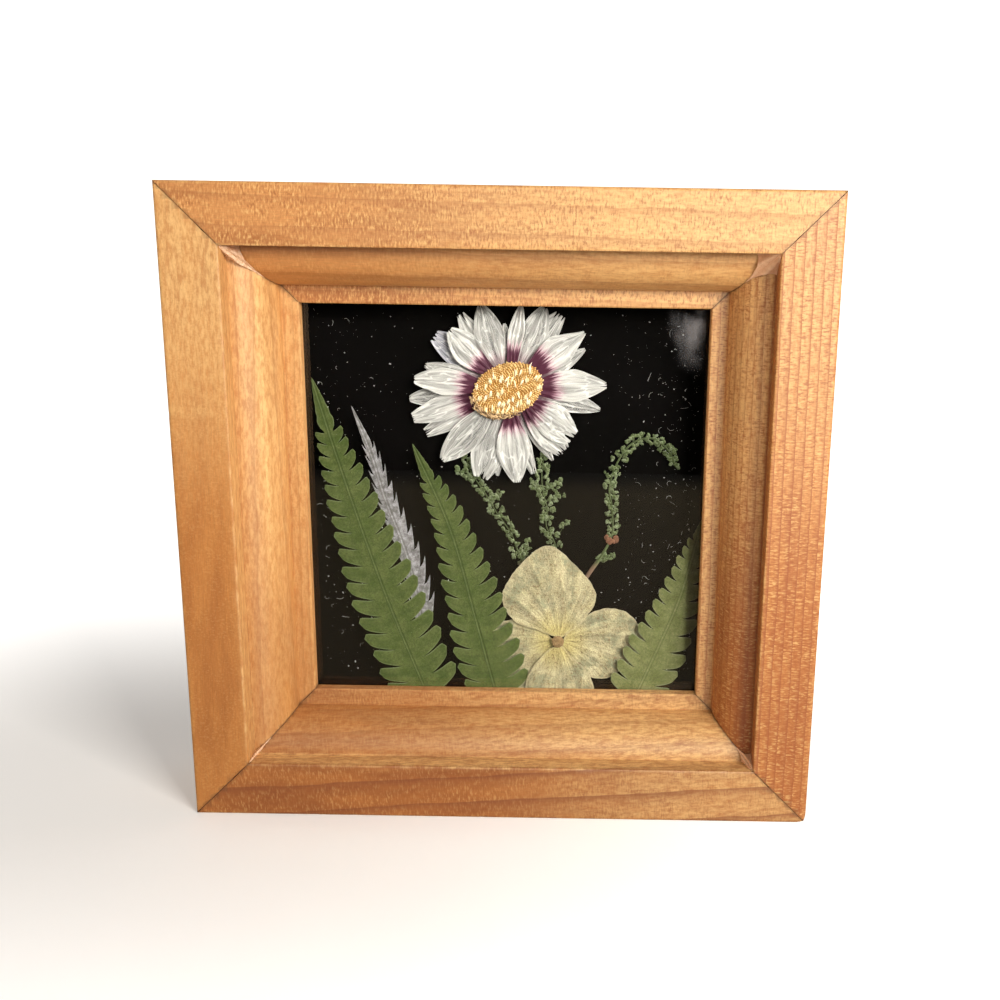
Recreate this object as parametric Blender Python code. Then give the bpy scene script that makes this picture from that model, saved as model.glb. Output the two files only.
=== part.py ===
"""Pressed flower frame: a small square frame that stands on its bottom rail.

Four mitred rails of one stepped moulding hold a glass pane, a black card with pressed flowers on
it, and a backing board that eight steel points keep in the rabbet.

Lengths in this file are millimetres and become metres in place(). A point on the picture is
(across, up) from the middle of the opening, and depth runs back from the front of the frame. The
object stands at the origin on the XY plane, with its front towards -Y and +Z up.
"""

from math import cos, pi, radians, sin, sqrt

import bmesh
import bpy
from mathutils import Vector

MM = 0.001

# Frame
FRAME_SIDE = 140.0
FRAME_DEPTH = 28.5
MITRE_GAP = 0.3

# Moulding, measured inwards from the outer side and back from the front
BAND_WIDTH = 12.65
STEP_DEPTH = 5.2
OVOLO_WIDTH = 8.25
LIP_WIDTH = 3.85
LIP_DEPTH = 15.2
LIP_THICKNESS = 2.6
RABBET_FROM_OUTER = 18.8
OUTER_ROUND = 0.8
EDGE_EASE = 0.25
OVOLO_STEPS = 16
ROUND_STEPS = 4

# What the rabbet holds, front to back
TOUCH_GAP = 0.3
PANE_SIDE = 101.6
GLASS_THICKNESS = 2.0
CARD_THICKNESS = 1.0
BACKING_THICKNESS = 2.5
PANE_EASE = 0.2
GLASS_FRONT = LIP_DEPTH + LIP_THICKNESS + TOUCH_GAP
SPECIMEN_FRONT = GLASS_FRONT + GLASS_THICKNESS + 0.15

# Pressed pieces lie in layers, the first one against the glass
LEAF_THICKNESS = 0.3
LAYER_PITCH = 0.55
LAYERS = 5
FIRST_LAYER = SPECIMEN_FRONT + 0.25
DISC_THICKNESS = 0.5
CARD_FRONT = FIRST_LAYER + (LAYERS - 1) * LAYER_PITCH + LEAF_THICKNESS + TOUCH_GAP
BACKING_FRONT = CARD_FRONT + CARD_THICKNESS + TOUCH_GAP
POINT_FRONT = BACKING_FRONT + BACKING_THICKNESS + TOUCH_GAP

# Steel points, two to a rail
POINT_LENGTH = 13.0
POINT_WIDTH = 5.0
POINT_THICKNESS = 0.5
POINT_IN_WOOD = 4.5
POINT_SPACING = 56.0
POINT_EAR = 2.0

# Fern fronds and the grey leaf: the midrib's route from base to tip, then for each side the reach
# of its lobes at the base, the widest reach, how far up that is, and the number of lobes.
FRONDS = {
    "fern_left": dict(
        midrib=[(-19.3, -48.2), (-28.9, -22.6), (-38.1, 6.6), (-44.3, 28.3)],
        left=(8.7, 8.7, 0.28, 17),
        right=(9.2, 9.2, 0.24, 16),
        smooth_tip=0.16,
        rib_share=0.30,
        lean=1.1,
        layer=0,
    ),
    "fern_middle": dict(
        midrib=[(-2.4, -48.4), (-7.6, -27.9), (-13.2, -6.8), (-21.7, 13.4)],
        left=(7.2, 7.2, 0.18, 14),
        right=(8.8, 8.8, 0.16, 15),
        smooth_tip=0.15,
        rib_share=0.34,
        lean=1.1,
        layer=0,
    ),
    "fern_right": dict(
        midrib=[(31.0, -48.2), (36.2, -35.5), (41.4, -21.5), (45.8, -3.0)],
        left=(7.8, 7.8, 0.2, 13),
        right=(7.4, 7.4, 0.3, 10),
        smooth_tip=0.12,
        rib_share=0.38,
        lean=0.95,
        layer=0,
    ),
    "silver_leaf": dict(
        midrib=[(-20.4, -29.5), (-23.2, -14.7), (-28.4, 0.4), (-31.4, 10.9), (-35.6, 21.9)],
        left=(1.3, 1.5, 0.45, 10),
        right=(4.2, 3.4, 0.3, 10),
        smooth_tip=0.2,
        rib_share=0.42,
        lean=1.1,
        layer=1,
    ),
}
LOBE_EDGE_STEPS = 3
LOBE_TAPER = 0.45
REACH_BOW = 1.25
REACH_FALL = 0.8
MIDRIB_STEP = 1.0

# Daisy: (angle from the right, length from the disc's middle, width, layer, sharpness of the tip)
DAISY_CENTRE = (0.2, 26.3)
DISC_LONG_RADIUS = 8.4
DISC_SHORT_RADIUS = 6.0
DISC_TURN = radians(22)
DISC_SEGMENTS = 40
PETAL_ROOT = 4.4
PETAL_ROOT_WIDTH = 1.5
PETAL_WIDEST = 0.62
PETAL_WAIST = 1.5
PETAL_STEPS = 9
PETALS = [
    (108, 19.8, 5.2, 1, 2.0),
    (93, 14.8, 2.6, 2, 1.6),
    (81, 19.4, 2.8, 1, 2.0),
    (66, 20.2, 5.0, 2, 2.2),
    (55, 20.6, 4.6, 3, 2.0),
    (37, 21.7, 5.6, 1, 1.3),
    (28, 19.8, 3.8, 2, 1.6),
    (3, 22.5, 6.0, 1, 1.6),
    (-12, 21.6, 4.0, 2, 1.7),
    (-35, 18.6, 6.4, 1, 2.4),
    (-47, 19.2, 6.0, 2, 2.2),
    (-58, 19.6, 3.2, 3, 1.6),
    (-73, 20.6, 2.8, 2, 1.5),
    (-84, 21.8, 6.2, 1, 1.9),
    (-97, 20.6, 2.8, 3, 1.8),
    (-107, 21.8, 6.4, 2, 2.0),
    (-132, 22.6, 5.4, 1, 2.2),
    (-151, 21.8, 3.6, 3, 1.8),
    (-162, 23.0, 4.4, 2, 1.8),
    (-173, 22.8, 4.0, 3, 2.4),
    (175, 21.4, 4.8, 1, 2.2),
    (165, 19.6, 3.4, 2, 2.0),
    (145, 20.4, 5.2, 3, 2.2),
    (135, 18.6, 5.6, 1, 1.9),
    (123, 19.8, 4.2, 2, 1.5),
]

# Cream floret: each sepal's outline, run through smoothly
SEPALS = {
    "cream_sepal_top": dict(
        layer=1,
        outline=[(12.3, -33.2), (6.5, -31.2), (1.8, -29.4), (-1.2, -23.0), (3.2, -15.2),
                 (9.6, -10.5), (16.2, -15.2), (21.2, -22.3), (18.6, -28.6), (14.5, -32.2)],
    ),
    "cream_sepal_right": dict(
        layer=2,
        outline=[(13.2, -34.6), (17.6, -28.8), (23.6, -26.0), (29.6, -27.6), (33.2, -34.4),
                 (30.6, -38.4), (27.6, -41.6), (23.4, -43.9), (18.4, -42.6), (14.6, -38.0)],
    ),
    "cream_sepal_bottom": dict(
        layer=1,
        outline=[(12.4, -35.4), (15.4, -38.0), (19.6, -43.0), (20.4, -48.0), (15.0, -49.6),
                 (9.0, -48.6), (7.2, -43.0), (9.2, -38.2)],
    ),
    "cream_sepal_left": dict(
        layer=2,
        outline=[(11.2, -34.4), (5.0, -29.6), (-2.6, -30.2), (-5.6, -35.0), (-5.0, -41.4),
                 (0.4, -46.6), (4.6, -47.6), (7.0, -43.0), (9.4, -37.8)],
    ),
}
SEPAL_STEPS = 5
FLORET_CENTRE = (12.2, -34.2)
BUTTON_RADIUS = 1.5
BUTTON_SEGMENTS = 20

# Sprigs of tiny buds: the stem's route from the foot up, and where the buds begin along it
SPRIGS = {
    "sprig_left": dict(
        route=[(5.0, -18.5), (2.4, -12.2), (0.8, -8.0), (-2.6, -3.0), (-5.4, 1.8), (-8.6, 6.8),
               (-9.8, 11.5)],
        buds_from=0.12,
    ),
    "sprig_middle": dict(
        route=[(12.4, -17.0), (11.2, -10.4), (9.2, -6.2), (9.4, -2.4), (8.4, 2.0), (8.0, 6.4),
               (8.6, 11.5)],
        buds_from=0.2,
    ),
    "sprig_right": dict(
        route=[(17.0, -22.0), (19.6, -17.4), (22.6, -12.8), (24.7, -8.0), (24.6, -2.0),
               (23.9, 3.6), (25.6, 9.4), (28.8, 13.8), (33.2, 15.2), (37.2, 12.6), (39.3, 8.3)],
        buds_from=0.24,
    ),
}
SPRIG_LAYER = 4
STEM_HALF_WIDTH = 0.45
BUDS_HALF_WIDTH = 1.45
BUD_SCALLOP = 0.4
BUD_PITCH = 2.0
SPRIG_STEP = 0.5

COLOURS = {
    "wood": ((0.55, 0.27, 0.11, 1), 0.45, 0.0),
    "glass": ((0.95, 0.98, 0.97, 0.3), 0.03, 0.0),
    "card": ((0.012, 0.010, 0.009, 1), 0.85, 0.0),
    "backing": ((0.30, 0.19, 0.11, 1), 0.7, 0.0),
    "steel": ((0.55, 0.55, 0.54, 1), 0.35, 1.0),
    "fern": ((0.12, 0.19, 0.06, 1), 0.8, 0.0),
    "silver": ((0.40, 0.38, 0.33, 1), 0.8, 0.0),
    "sprig": ((0.10, 0.16, 0.07, 1), 0.85, 0.0),
    "petal": ((0.85, 0.83, 0.80, 1), 0.6, 0.0),
    "disc": ((0.72, 0.42, 0.10, 1), 0.9, 0.0),
    "sepal": ((0.78, 0.68, 0.38, 1), 0.75, 0.0),
    "button": ((0.35, 0.25, 0.12, 1), 0.85, 0.0),
}


def place(across, up, depth):
    """World point, in metres, of a point on the picture at a depth behind the frame's front."""
    return Vector((across, depth - FRAME_DEPTH / 2, up + FRAME_SIDE / 2)) * MM


def layer_front(layer):
    return FIRST_LAYER + layer * LAYER_PITCH


def clear_scene():
    for obj in list(bpy.data.objects):
        bpy.data.objects.remove(obj, do_unlink=True)


def finish(name):
    """The piece's own Principled material."""
    colour, roughness, metallic = COLOURS[name]
    made = bpy.data.materials.new(name)
    made.use_nodes = True
    shader = made.node_tree.nodes["Principled BSDF"]
    shader.inputs["Base Color"].default_value = colour
    shader.inputs["Roughness"].default_value = roughness
    shader.inputs["Metallic"].default_value = metallic
    if name == "glass":
        shader.inputs["Transmission Weight"].default_value = 1.0
        shader.inputs["IOR"].default_value = 1.5
    made.diffuse_color = colour
    return made


def add_object(name, mesh_maker, finish_name, parent):
    """A linked object whose mesh is what mesh_maker leaves in a new bmesh, with normals outwards."""
    shape = bmesh.new()
    mesh_maker(shape)
    bmesh.ops.recalc_face_normals(shape, faces=shape.faces)
    mesh = bpy.data.meshes.new(name)
    shape.to_mesh(mesh)
    shape.free()
    mesh.materials.append(finish(finish_name))
    obj = bpy.data.objects.new(name, mesh)
    obj.parent = parent
    bpy.context.scene.collection.objects.link(obj)
    return obj


def loft(shape, rings):
    """Closes a tube of faces over rings of equal length, with a face on each end."""
    loops = [[shape.verts.new(point) for point in ring] for ring in rings]
    for low, high in zip(loops, loops[1:]):
        for i, corner in enumerate(low):
            after = (i + 1) % len(low)
            shape.faces.new((corner, low[after], high[after], high[i]))
    shape.faces.new(loops[0])
    shape.faces.new(loops[-1])


def plate(name, outline, depth, thickness, finish_name, parent):
    """A flat piece with the outline on its front and back."""
    rings = [[place(across, up, at) for across, up in outline] for at in (depth, depth + thickness)]
    return add_object(name, lambda shape: loft(shape, rings), finish_name, parent)


def box_outline(width, height, centre=(0.0, 0.0), corner=0.0):
    """A rectangle, with its corners cut off by corner."""
    half_width, half_height = width / 2, height / 2
    points = []
    for sign_x, sign_y, first in ((-1, -1, "y"), (1, -1, "x"), (1, 1, "y"), (-1, 1, "x")):
        along_x = (sign_x * (half_width - corner), sign_y * half_height)
        along_y = (sign_x * half_width, sign_y * (half_height - corner))
        pair = [along_y, along_x] if first == "y" else [along_x, along_y]
        points += pair if corner else pair[:1]
    return [(centre[0] + x, centre[1] + y) for x, y in points]


def moulding_profile():
    """The rail's section as (inwards, depth) points, from the outer front edge round."""
    lip_outer = BAND_WIDTH + OVOLO_WIDTH
    lip_back = LIP_DEPTH + LIP_THICKNESS
    points = []
    for step in range(ROUND_STEPS + 1):
        turn = step / ROUND_STEPS * pi / 2
        points.append((OUTER_ROUND * (1 - cos(turn)), OUTER_ROUND * (1 - sin(turn))))
    points.append((BAND_WIDTH - EDGE_EASE, 0.0))
    points.append((BAND_WIDTH, EDGE_EASE))
    for step in range(OVOLO_STEPS + 1):
        turn = step / OVOLO_STEPS * pi / 2
        inwards = BAND_WIDTH + OVOLO_WIDTH * sin(turn)
        points.append((inwards, LIP_DEPTH - (LIP_DEPTH - STEP_DEPTH) * cos(turn)))
    points.append((lip_outer + LIP_WIDTH - EDGE_EASE, LIP_DEPTH))
    points.append((lip_outer + LIP_WIDTH, LIP_DEPTH + EDGE_EASE))
    points.append((lip_outer + LIP_WIDTH, lip_back))
    points.append((RABBET_FROM_OUTER, lip_back))
    points.append((RABBET_FROM_OUTER, FRAME_DEPTH))
    points.append((OUTER_ROUND, FRAME_DEPTH))
    points.append((0.0, FRAME_DEPTH - OUTER_ROUND))
    return points


def turned(point, quarter_turns):
    """The point turned about the middle of the opening."""
    across, up = point
    for _ in range(quarter_turns):
        across, up = -up, across
    return across, up


def rail(name, quarter_turns, parent):
    """One mitred rail: the bottom one, turned to its side of the frame."""
    back_off = MITRE_GAP / sqrt(2)
    rings = []
    for end in (-1, 1):
        ring = []
        for inwards, depth in moulding_profile():
            along = end * (FRAME_SIDE / 2 - inwards - back_off)
            across, up = turned((along, inwards - FRAME_SIDE / 2), quarter_turns)
            ring.append(place(across, up, depth))
        rings.append(ring)
    return add_object(name, lambda shape: loft(shape, rings), "wood", parent)


def point_outline(offset, quarter_turns):
    """A framer's point: two ears, a waist and a sharp end that goes into the wood."""
    mouth = FRAME_SIDE / 2 - RABBET_FROM_OUTER
    tip = mouth + POINT_IN_WOOD
    tail = tip - POINT_LENGTH
    half = POINT_WIDTH / 2
    side = [
        (0.0, tip),
        (half, tip - half),
        (half, mouth - 1.0),
        (half - 1.0, mouth - POINT_EAR),
        (half, mouth - 2 * POINT_EAR),
        (half, tail + 1.0),
        (half - 1.0, tail),
    ]
    points = [(offset + x, -y) for x, y in side]
    points += [(offset - x, -y) for x, y in reversed(side[1:])]
    return [turned(point, quarter_turns) for point in points]


def slot_cutter(name, offset, quarter_turns, parent):
    """The slot that a point's sharp end lies in."""
    mouth = FRAME_SIDE / 2 - RABBET_FROM_OUTER
    length = POINT_IN_WOOD + 2.0
    middle = (offset, -(mouth + POINT_IN_WOOD + TOUCH_GAP - length / 2))
    outline = box_outline(POINT_WIDTH + 2 * TOUCH_GAP, length, middle)
    outline = [turned(point, quarter_turns) for point in outline]
    thickness = POINT_THICKNESS + 2 * TOUCH_GAP
    cutter = plate(name, outline, POINT_FRONT - TOUCH_GAP, thickness, "steel", parent)
    cutter.hide_render = True
    cutter.display_type = "WIRE"
    return cutter


def add_rails_and_points(parent):
    for quarter_turns, side in enumerate(("bottom", "right", "top", "left")):
        wood = rail(f"rail_{side}", quarter_turns, parent)
        for number, sign in enumerate((-1, 1), start=1):
            offset = sign * POINT_SPACING / 2
            cutter = slot_cutter(f"slot_{side}_{number}", offset, quarter_turns, parent)
            cut = wood.modifiers.new(f"slot {number}", "BOOLEAN")
            cut.operation = "DIFFERENCE"
            cut.object = cutter
            outline = point_outline(offset, quarter_turns)
            plate(f"point_{side}_{number}", outline, POINT_FRONT, POINT_THICKNESS, "steel", parent)


def add_panes(parent):
    square = box_outline(PANE_SIDE, PANE_SIDE, corner=PANE_EASE)
    plate("glass_pane", square, GLASS_FRONT, GLASS_THICKNESS, "glass", parent)
    plate("mount_card", square, CARD_FRONT, CARD_THICKNESS, "card", parent)
    plate("backing_board", square, BACKING_FRONT, BACKING_THICKNESS, "backing", parent)


def curve_point(before, start, end, after, t):
    """A point on the smooth curve from start to end, which heads for the points on either side."""
    return 0.5 * (
        2 * start
        + (end - before) * t
        + (2 * before - 5 * start + 4 * end - after) * t * t
        + (3 * start - before - 3 * end + after) * t**3
    )


def smooth_loop(points, steps):
    """A closed curve that runs through the points."""
    curve = []
    for i in range(len(points)):
        guides = [Vector(points[(i + k) % len(points)]) for k in (-1, 0, 1, 2)]
        curve += [curve_point(*guides, step / steps) for step in range(steps)]
    return [(point.x, point.y) for point in curve]


def smooth_route(points, step):
    """An open curve through the points, as points about step apart."""
    ends = [2 * Vector(points[0]) - Vector(points[1]), 2 * Vector(points[-1]) - Vector(points[-2])]
    guides = [ends[0], *(Vector(point) for point in points), ends[1]]
    route = []
    for before, start, end, after in zip(guides, guides[1:], guides[2:], guides[3:]):
        count = max(2, round((end - start).length / step))
        route += [curve_point(before, start, end, after, i / count) for i in range(count)]
    return route + [guides[-2]]


def distances(line):
    """How far along the line each of its points is."""
    travelled = [0.0]
    for here, there in zip(line, line[1:]):
        travelled.append(travelled[-1] + (there - here).length)
    return travelled


def heading(line, i):
    return (line[min(i + 1, len(line) - 1)] - line[max(i - 1, 0)]).normalized()


def beside(line, share, sideways):
    """The point at a share of the line's length, moved sideways to its right when positive."""
    travelled = distances(line)
    wanted = share * travelled[-1]
    i = max(k for k, distance in enumerate(travelled[:-1]) if distance <= wanted)
    part = (wanted - travelled[i]) / (travelled[i + 1] - travelled[i])
    here = line[i].lerp(line[i + 1], part)
    ahead = heading(line, i).lerp(heading(line, i + 1), part).normalized()
    return here.x + sideways * ahead.y, here.y - sideways * ahead.x


def lobe_reach(share, base, widest, peak):
    """How far a lobe reaches from the midrib, at its share of the frond's length."""
    if share < peak:
        return base + (widest - base) * share / peak
    run = min(1.0, (share - peak) / (1 - peak))
    return widest * (1 - run**REACH_BOW) ** REACH_FALL


def lobe_starts(lobed, lobes):
    """Where each lobe starts, as shares of the length, closing up towards the tip."""
    pitches = [1 - LOBE_TAPER * (lobe / lobes) ** 3 for lobe in range(lobes)]
    starts = [sum(pitches[:lobe]) / sum(pitches) * lobed for lobe in range(lobes)]
    return starts + [lobed]


def frond_edge(shape, side):
    """One edge of a frond from its base to its tip, as points with lobes that lean forwards."""
    base, widest, peak, lobes = shape["left" if side < 0 else "right"]
    rib_share = shape["rib_share"]
    lobed = 1 - shape["smooth_tip"]
    starts = lobe_starts(lobed, lobes)
    points = []
    for start, end in zip(starts, starts[1:]):
        pitch = end - start
        valley = lobe_reach(start, base, widest, peak) * rib_share
        tip_at = start + pitch * shape["lean"]
        tip = lobe_reach(start + pitch / 2, base, widest, peak)
        points.append((start, valley))
        for step in range(1, LOBE_EDGE_STEPS + 1):
            turn = step / LOBE_EDGE_STEPS * pi / 2
            ahead = start + (tip_at - start) * (1 - cos(turn))
            points.append((ahead, valley + (tip - valley) * sin(turn)))
        points.append((tip_at - pitch * 0.04, valley + (tip - valley) * 0.45))
    foot = lobe_reach(lobed, base, widest, peak)
    points.append((lobed + pitch * 0.2, foot * 0.4))
    points.append((lobed + pitch * 0.9, foot * 0.75))
    points.append(((1 + lobed) / 2, foot * 0.5))
    line = smooth_route(shape["midrib"], MIDRIB_STEP)
    return [beside(line, share, side * reach) for share, reach in points]


def add_fronds(parent):
    for name, shape in FRONDS.items():
        outline = frond_edge(shape, 1) + shape["midrib"][-1:] + frond_edge(shape, -1)[::-1]
        finish_name = "silver" if name == "silver_leaf" else "fern"
        plate(name, outline, layer_front(shape["layer"]), LEAF_THICKNESS, finish_name, parent)


def petal_half_width(share, width, sharpness):
    """Half the petal's width, at a share of its length from its root."""
    if share < PETAL_WIDEST:
        grown = sin(share / PETAL_WIDEST * pi / 2) ** PETAL_WAIST
        return (PETAL_ROOT_WIDTH + (width - PETAL_ROOT_WIDTH) * grown) / 2
    run = (share - PETAL_WIDEST) / (1 - PETAL_WIDEST)
    return width / 2 * (1 - run**sharpness) ** (1 / sharpness)


def petal_outline(angle, length, width, sharpness):
    turn = radians(angle)
    along = Vector((cos(turn), sin(turn)))
    across = Vector((-along.y, along.x))
    centre = Vector(DAISY_CENTRE)
    edge = []
    for step in range(PETAL_STEPS):
        share = step / PETAL_STEPS
        reach = PETAL_ROOT + (length - PETAL_ROOT) * share
        edge.append((reach, petal_half_width(share, width, sharpness)))
    left = [centre + along * reach + across * half for reach, half in edge]
    right = [centre + along * reach - across * half for reach, half in edge]
    outline = right + [centre + along * length] + left[::-1]
    return [(point.x, point.y) for point in outline]


def ellipse(centre, long_radius, short_radius, turn, segments):
    points = []
    for step in range(segments):
        angle = step / segments * 2 * pi
        x, y = long_radius * cos(angle), short_radius * sin(angle)
        points.append(
            (centre[0] + x * cos(turn) - y * sin(turn), centre[1] + x * sin(turn) + y * cos(turn))
        )
    return points


def domed_plate(name, centre, radii, turn, segments, finish_name, parent):
    """A pressed round piece against the glass, with its front edge eased."""
    long_radius, short_radius = radii
    front = SPECIMEN_FRONT
    rings = []
    for depth, inset in ((0.0, 0.5), (DISC_THICKNESS * 0.45, 0.0), (DISC_THICKNESS, 0.0)):
        outline = ellipse(centre, long_radius - inset, short_radius - inset, turn, segments)
        rings.append([place(across, up, front + depth) for across, up in outline])
    return add_object(name, lambda shape: loft(shape, rings), finish_name, parent)


def add_daisy(parent):
    radii = (DISC_LONG_RADIUS, DISC_SHORT_RADIUS)
    domed_plate("daisy_disc", DAISY_CENTRE, radii, DISC_TURN, DISC_SEGMENTS, "disc", parent)
    for number, (angle, length, width, layer, sharpness) in enumerate(PETALS, start=1):
        outline = petal_outline(angle, length, width, sharpness)
        name = f"daisy_petal_{number:02d}"
        plate(name, outline, layer_front(layer), LEAF_THICKNESS, "petal", parent)


def add_floret(parent):
    for name, sepal in SEPALS.items():
        outline = smooth_loop(sepal["outline"], SEPAL_STEPS)
        plate(name, outline, layer_front(sepal["layer"]), LEAF_THICKNESS, "sepal", parent)
    radii = (BUTTON_RADIUS, BUTTON_RADIUS)
    domed_plate("cream_button", FLORET_CENTRE, radii, 0.0, BUTTON_SEGMENTS, "button", parent)


def sprig_outline(route, buds_from):
    """A bare stem that widens into a scalloped band as broad as its buds."""
    line = smooth_route(route, SPRIG_STEP)
    travelled = distances(line)
    total = travelled[-1]
    left, right = [], []
    for i, (point, distance) in enumerate(zip(line, travelled)):
        half = STEM_HALF_WIDTH
        if distance > buds_from * total:
            half = BUDS_HALF_WIDTH + BUD_SCALLOP * cos(distance / BUD_PITCH * 2 * pi)
            half *= min(1.0, 0.45 + (total - distance) / 3)
        ahead = heading(line, i)
        left.append((point.x - ahead.y * half, point.y + ahead.x * half))
        right.append((point.x + ahead.y * half, point.y - ahead.x * half))
    return right + left[::-1]


def add_sprigs(parent):
    for name, sprig in SPRIGS.items():
        outline = sprig_outline(sprig["route"], sprig["buds_from"])
        plate(name, outline, layer_front(SPRIG_LAYER), LEAF_THICKNESS, "sprig", parent)


def main():
    clear_scene()
    stand = bpy.data.objects.new("flower_frame", None)
    bpy.context.scene.collection.objects.link(stand)
    add_rails_and_points(stand)
    add_panes(stand)
    add_fronds(stand)
    add_daisy(stand)
    add_floret(stand)
    add_sprigs(stand)


main()
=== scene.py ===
"""Looks of a small square wooden frame with pressed flowers behind its glass.

Shapes are given in millimetres: across and up from the middle of the opening, and depth back from
the front of the frame. picture_point() turns them into world points, in metres. The frame stands
on its bottom rail, with its front towards -Y and +Z up.
"""

import logging
from contextlib import contextmanager
from dataclasses import dataclass
from enum import Enum
from math import atan2, cos, exp, hypot, pi, radians, sin, sqrt, tau
from random import Random
from typing import Any, Callable, Iterator, Sequence

import bpy
from mathutils import Matrix, Vector, noise


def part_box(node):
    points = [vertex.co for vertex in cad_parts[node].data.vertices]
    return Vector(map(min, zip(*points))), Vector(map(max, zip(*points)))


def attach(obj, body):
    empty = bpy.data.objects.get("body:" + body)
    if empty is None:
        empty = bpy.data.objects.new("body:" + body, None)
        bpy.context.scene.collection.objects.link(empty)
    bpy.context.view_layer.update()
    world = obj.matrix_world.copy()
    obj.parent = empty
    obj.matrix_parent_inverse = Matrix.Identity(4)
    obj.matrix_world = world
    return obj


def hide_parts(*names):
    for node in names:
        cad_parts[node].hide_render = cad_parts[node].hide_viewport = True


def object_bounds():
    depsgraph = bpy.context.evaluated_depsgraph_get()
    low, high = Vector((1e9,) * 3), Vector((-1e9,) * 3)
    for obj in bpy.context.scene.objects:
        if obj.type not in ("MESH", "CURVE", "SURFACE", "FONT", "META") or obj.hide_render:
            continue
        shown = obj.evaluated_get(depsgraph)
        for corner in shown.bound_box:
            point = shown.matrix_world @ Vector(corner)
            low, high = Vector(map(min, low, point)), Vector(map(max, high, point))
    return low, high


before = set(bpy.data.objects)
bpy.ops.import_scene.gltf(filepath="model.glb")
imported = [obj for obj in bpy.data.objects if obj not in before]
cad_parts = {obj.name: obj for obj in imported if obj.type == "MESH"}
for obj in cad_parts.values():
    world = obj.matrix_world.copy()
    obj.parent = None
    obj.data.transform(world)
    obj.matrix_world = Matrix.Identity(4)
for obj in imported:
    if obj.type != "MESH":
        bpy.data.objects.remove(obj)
CAD_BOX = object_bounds()

LOG = logging.getLogger("pressed_flower_frame")
BODY = "root"
MM = 0.001
FRONT = CAD_BOX[0].y
CARD_LOW, CARD_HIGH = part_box("mount_card")
MIDDLE = (CARD_LOW + CARD_HIGH) / 2
HALF_SIDE = (CAD_BOX[1].x - CAD_BOX[0].x) / 2 / MM
QUARTER = pi / 2
GOLDEN_ANGLE = pi * (3 - sqrt(5))

Piece = bpy.types.Object
Material = bpy.types.Material
Tree = bpy.types.NodeTree
Node = bpy.types.Node
Socket = bpy.types.NodeSocket
Point = tuple[float, float]
Triple = tuple[float, float, float]
Marks = dict[str, list[float]]
Colour = Triple
Rule = Callable[[float, float], Triple]


def picture_point(across: float, up: float, depth: float) -> Vector:
    """Turns picture measures into a world point.

    Args:
        across: Millimetres to the right of the opening's middle.
        up: Millimetres above the opening's middle.
        depth: Millimetres behind the front of the frame.

    Returns:
        The point in metres.
    """
    return Vector((MIDDLE.x + across * MM, FRONT + depth * MM, MIDDLE.z + up * MM))


def ease(low: float, high: float, value: float) -> float:
    """Smooth step from 0 at low to 1 at high."""
    share = min(1.0, max(0.0, (value - low) / (high - low)))
    return share * share * (3 - 2 * share)


def bell(value: float, width: float) -> float:
    """1 where the value is 0, falling to almost nothing at twice the width."""
    return exp(-((value / width) ** 2))


def waver(x: float, y: float, z: float) -> float:
    """Smooth noise from about -1 to 1."""
    return noise.noise(Vector((x, y, z)))


# ---- Modelling by operators --------------------------------------


def select_only(*objects: Piece) -> None:
    """Selects these objects and nothing else, the first one active."""
    if bpy.context.object and bpy.context.object.mode != "OBJECT":
        bpy.ops.object.mode_set(mode="OBJECT")
    bpy.ops.object.select_all(action="DESELECT")
    for obj in objects:
        obj.select_set(True)
    if objects:
        bpy.context.view_layer.objects.active = objects[0]


@contextmanager
def editing(obj: Piece, select: str = "SELECT") -> Iterator[None]:
    """Edit mode on one object, with all of it selected or none of it."""
    select_only(obj)
    bpy.ops.object.mode_set(mode="EDIT")
    bpy.ops.mesh.select_all(action=select)
    yield
    bpy.ops.object.mode_set(mode="OBJECT")


def settle(obj: Piece) -> None:
    """Moves an object's place into its mesh, so that the object itself sits at the origin."""
    select_only(obj)
    bpy.ops.object.transform_apply(location=True, rotation=True, scale=True)


def finish_with(obj: Piece, kind: str, **settings: Any) -> None:
    """Adds a modifier with these settings and applies it."""
    select_only(obj)
    modifier = obj.modifiers.new(kind.title(), kind)
    for name, value in settings.items():
        setattr(modifier, name, value)
    bpy.ops.object.modifier_apply(modifier=modifier.name)


def close_surface(obj: Piece, merge: float = 2e-6) -> None:
    """Merges doubles and turns every face outwards."""
    with editing(obj):
        bpy.ops.mesh.remove_doubles(threshold=merge)
        bpy.ops.mesh.normals_make_consistent(inside=False)


def smooth(obj: Piece, angle: float = 40.0) -> None:
    """Shades smooth, apart from edges sharper than the angle."""
    select_only(obj)
    bpy.ops.object.shade_smooth_by_angle(angle=radians(angle))


def joined(name: str, objects: Sequence[Piece]) -> Piece:
    """Joins the objects into one with this name."""
    select_only(*objects)
    bpy.ops.object.join()
    made = bpy.context.object
    made.name = name
    made.data.name = name
    return made


def sheet(name: str, columns: int, rows: int, rule: Rule) -> Piece:
    """Adds a grid and lays it out as a curved sheet on the picture.

    Args:
        name: The new object's name.
        columns: Faces along the first direction.
        rows: Faces along the second direction.
        rule: Gives (across, up, depth) in millimetres for shares of both directions.

    Returns:
        The sheet, still without thickness, with those shares as its UV map.
    """
    select_only()
    bpy.ops.mesh.primitive_grid_add(x_subdivisions=columns, y_subdivisions=rows, size=2.0)
    made = bpy.context.object
    made.name = name
    for vertex in made.data.vertices:
        place = rule((vertex.co.x + 1) / 2, (vertex.co.y + 1) / 2)
        vertex.co = picture_point(*place)
    return made


def thicken(obj: Piece, thickness: float) -> None:
    """Gives a sheet its thickness in millimetres, half to each side."""
    close_surface(obj)
    finish_with(obj, "SOLIDIFY", thickness=thickness * MM, offset=0.0, use_even_offset=False)


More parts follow.
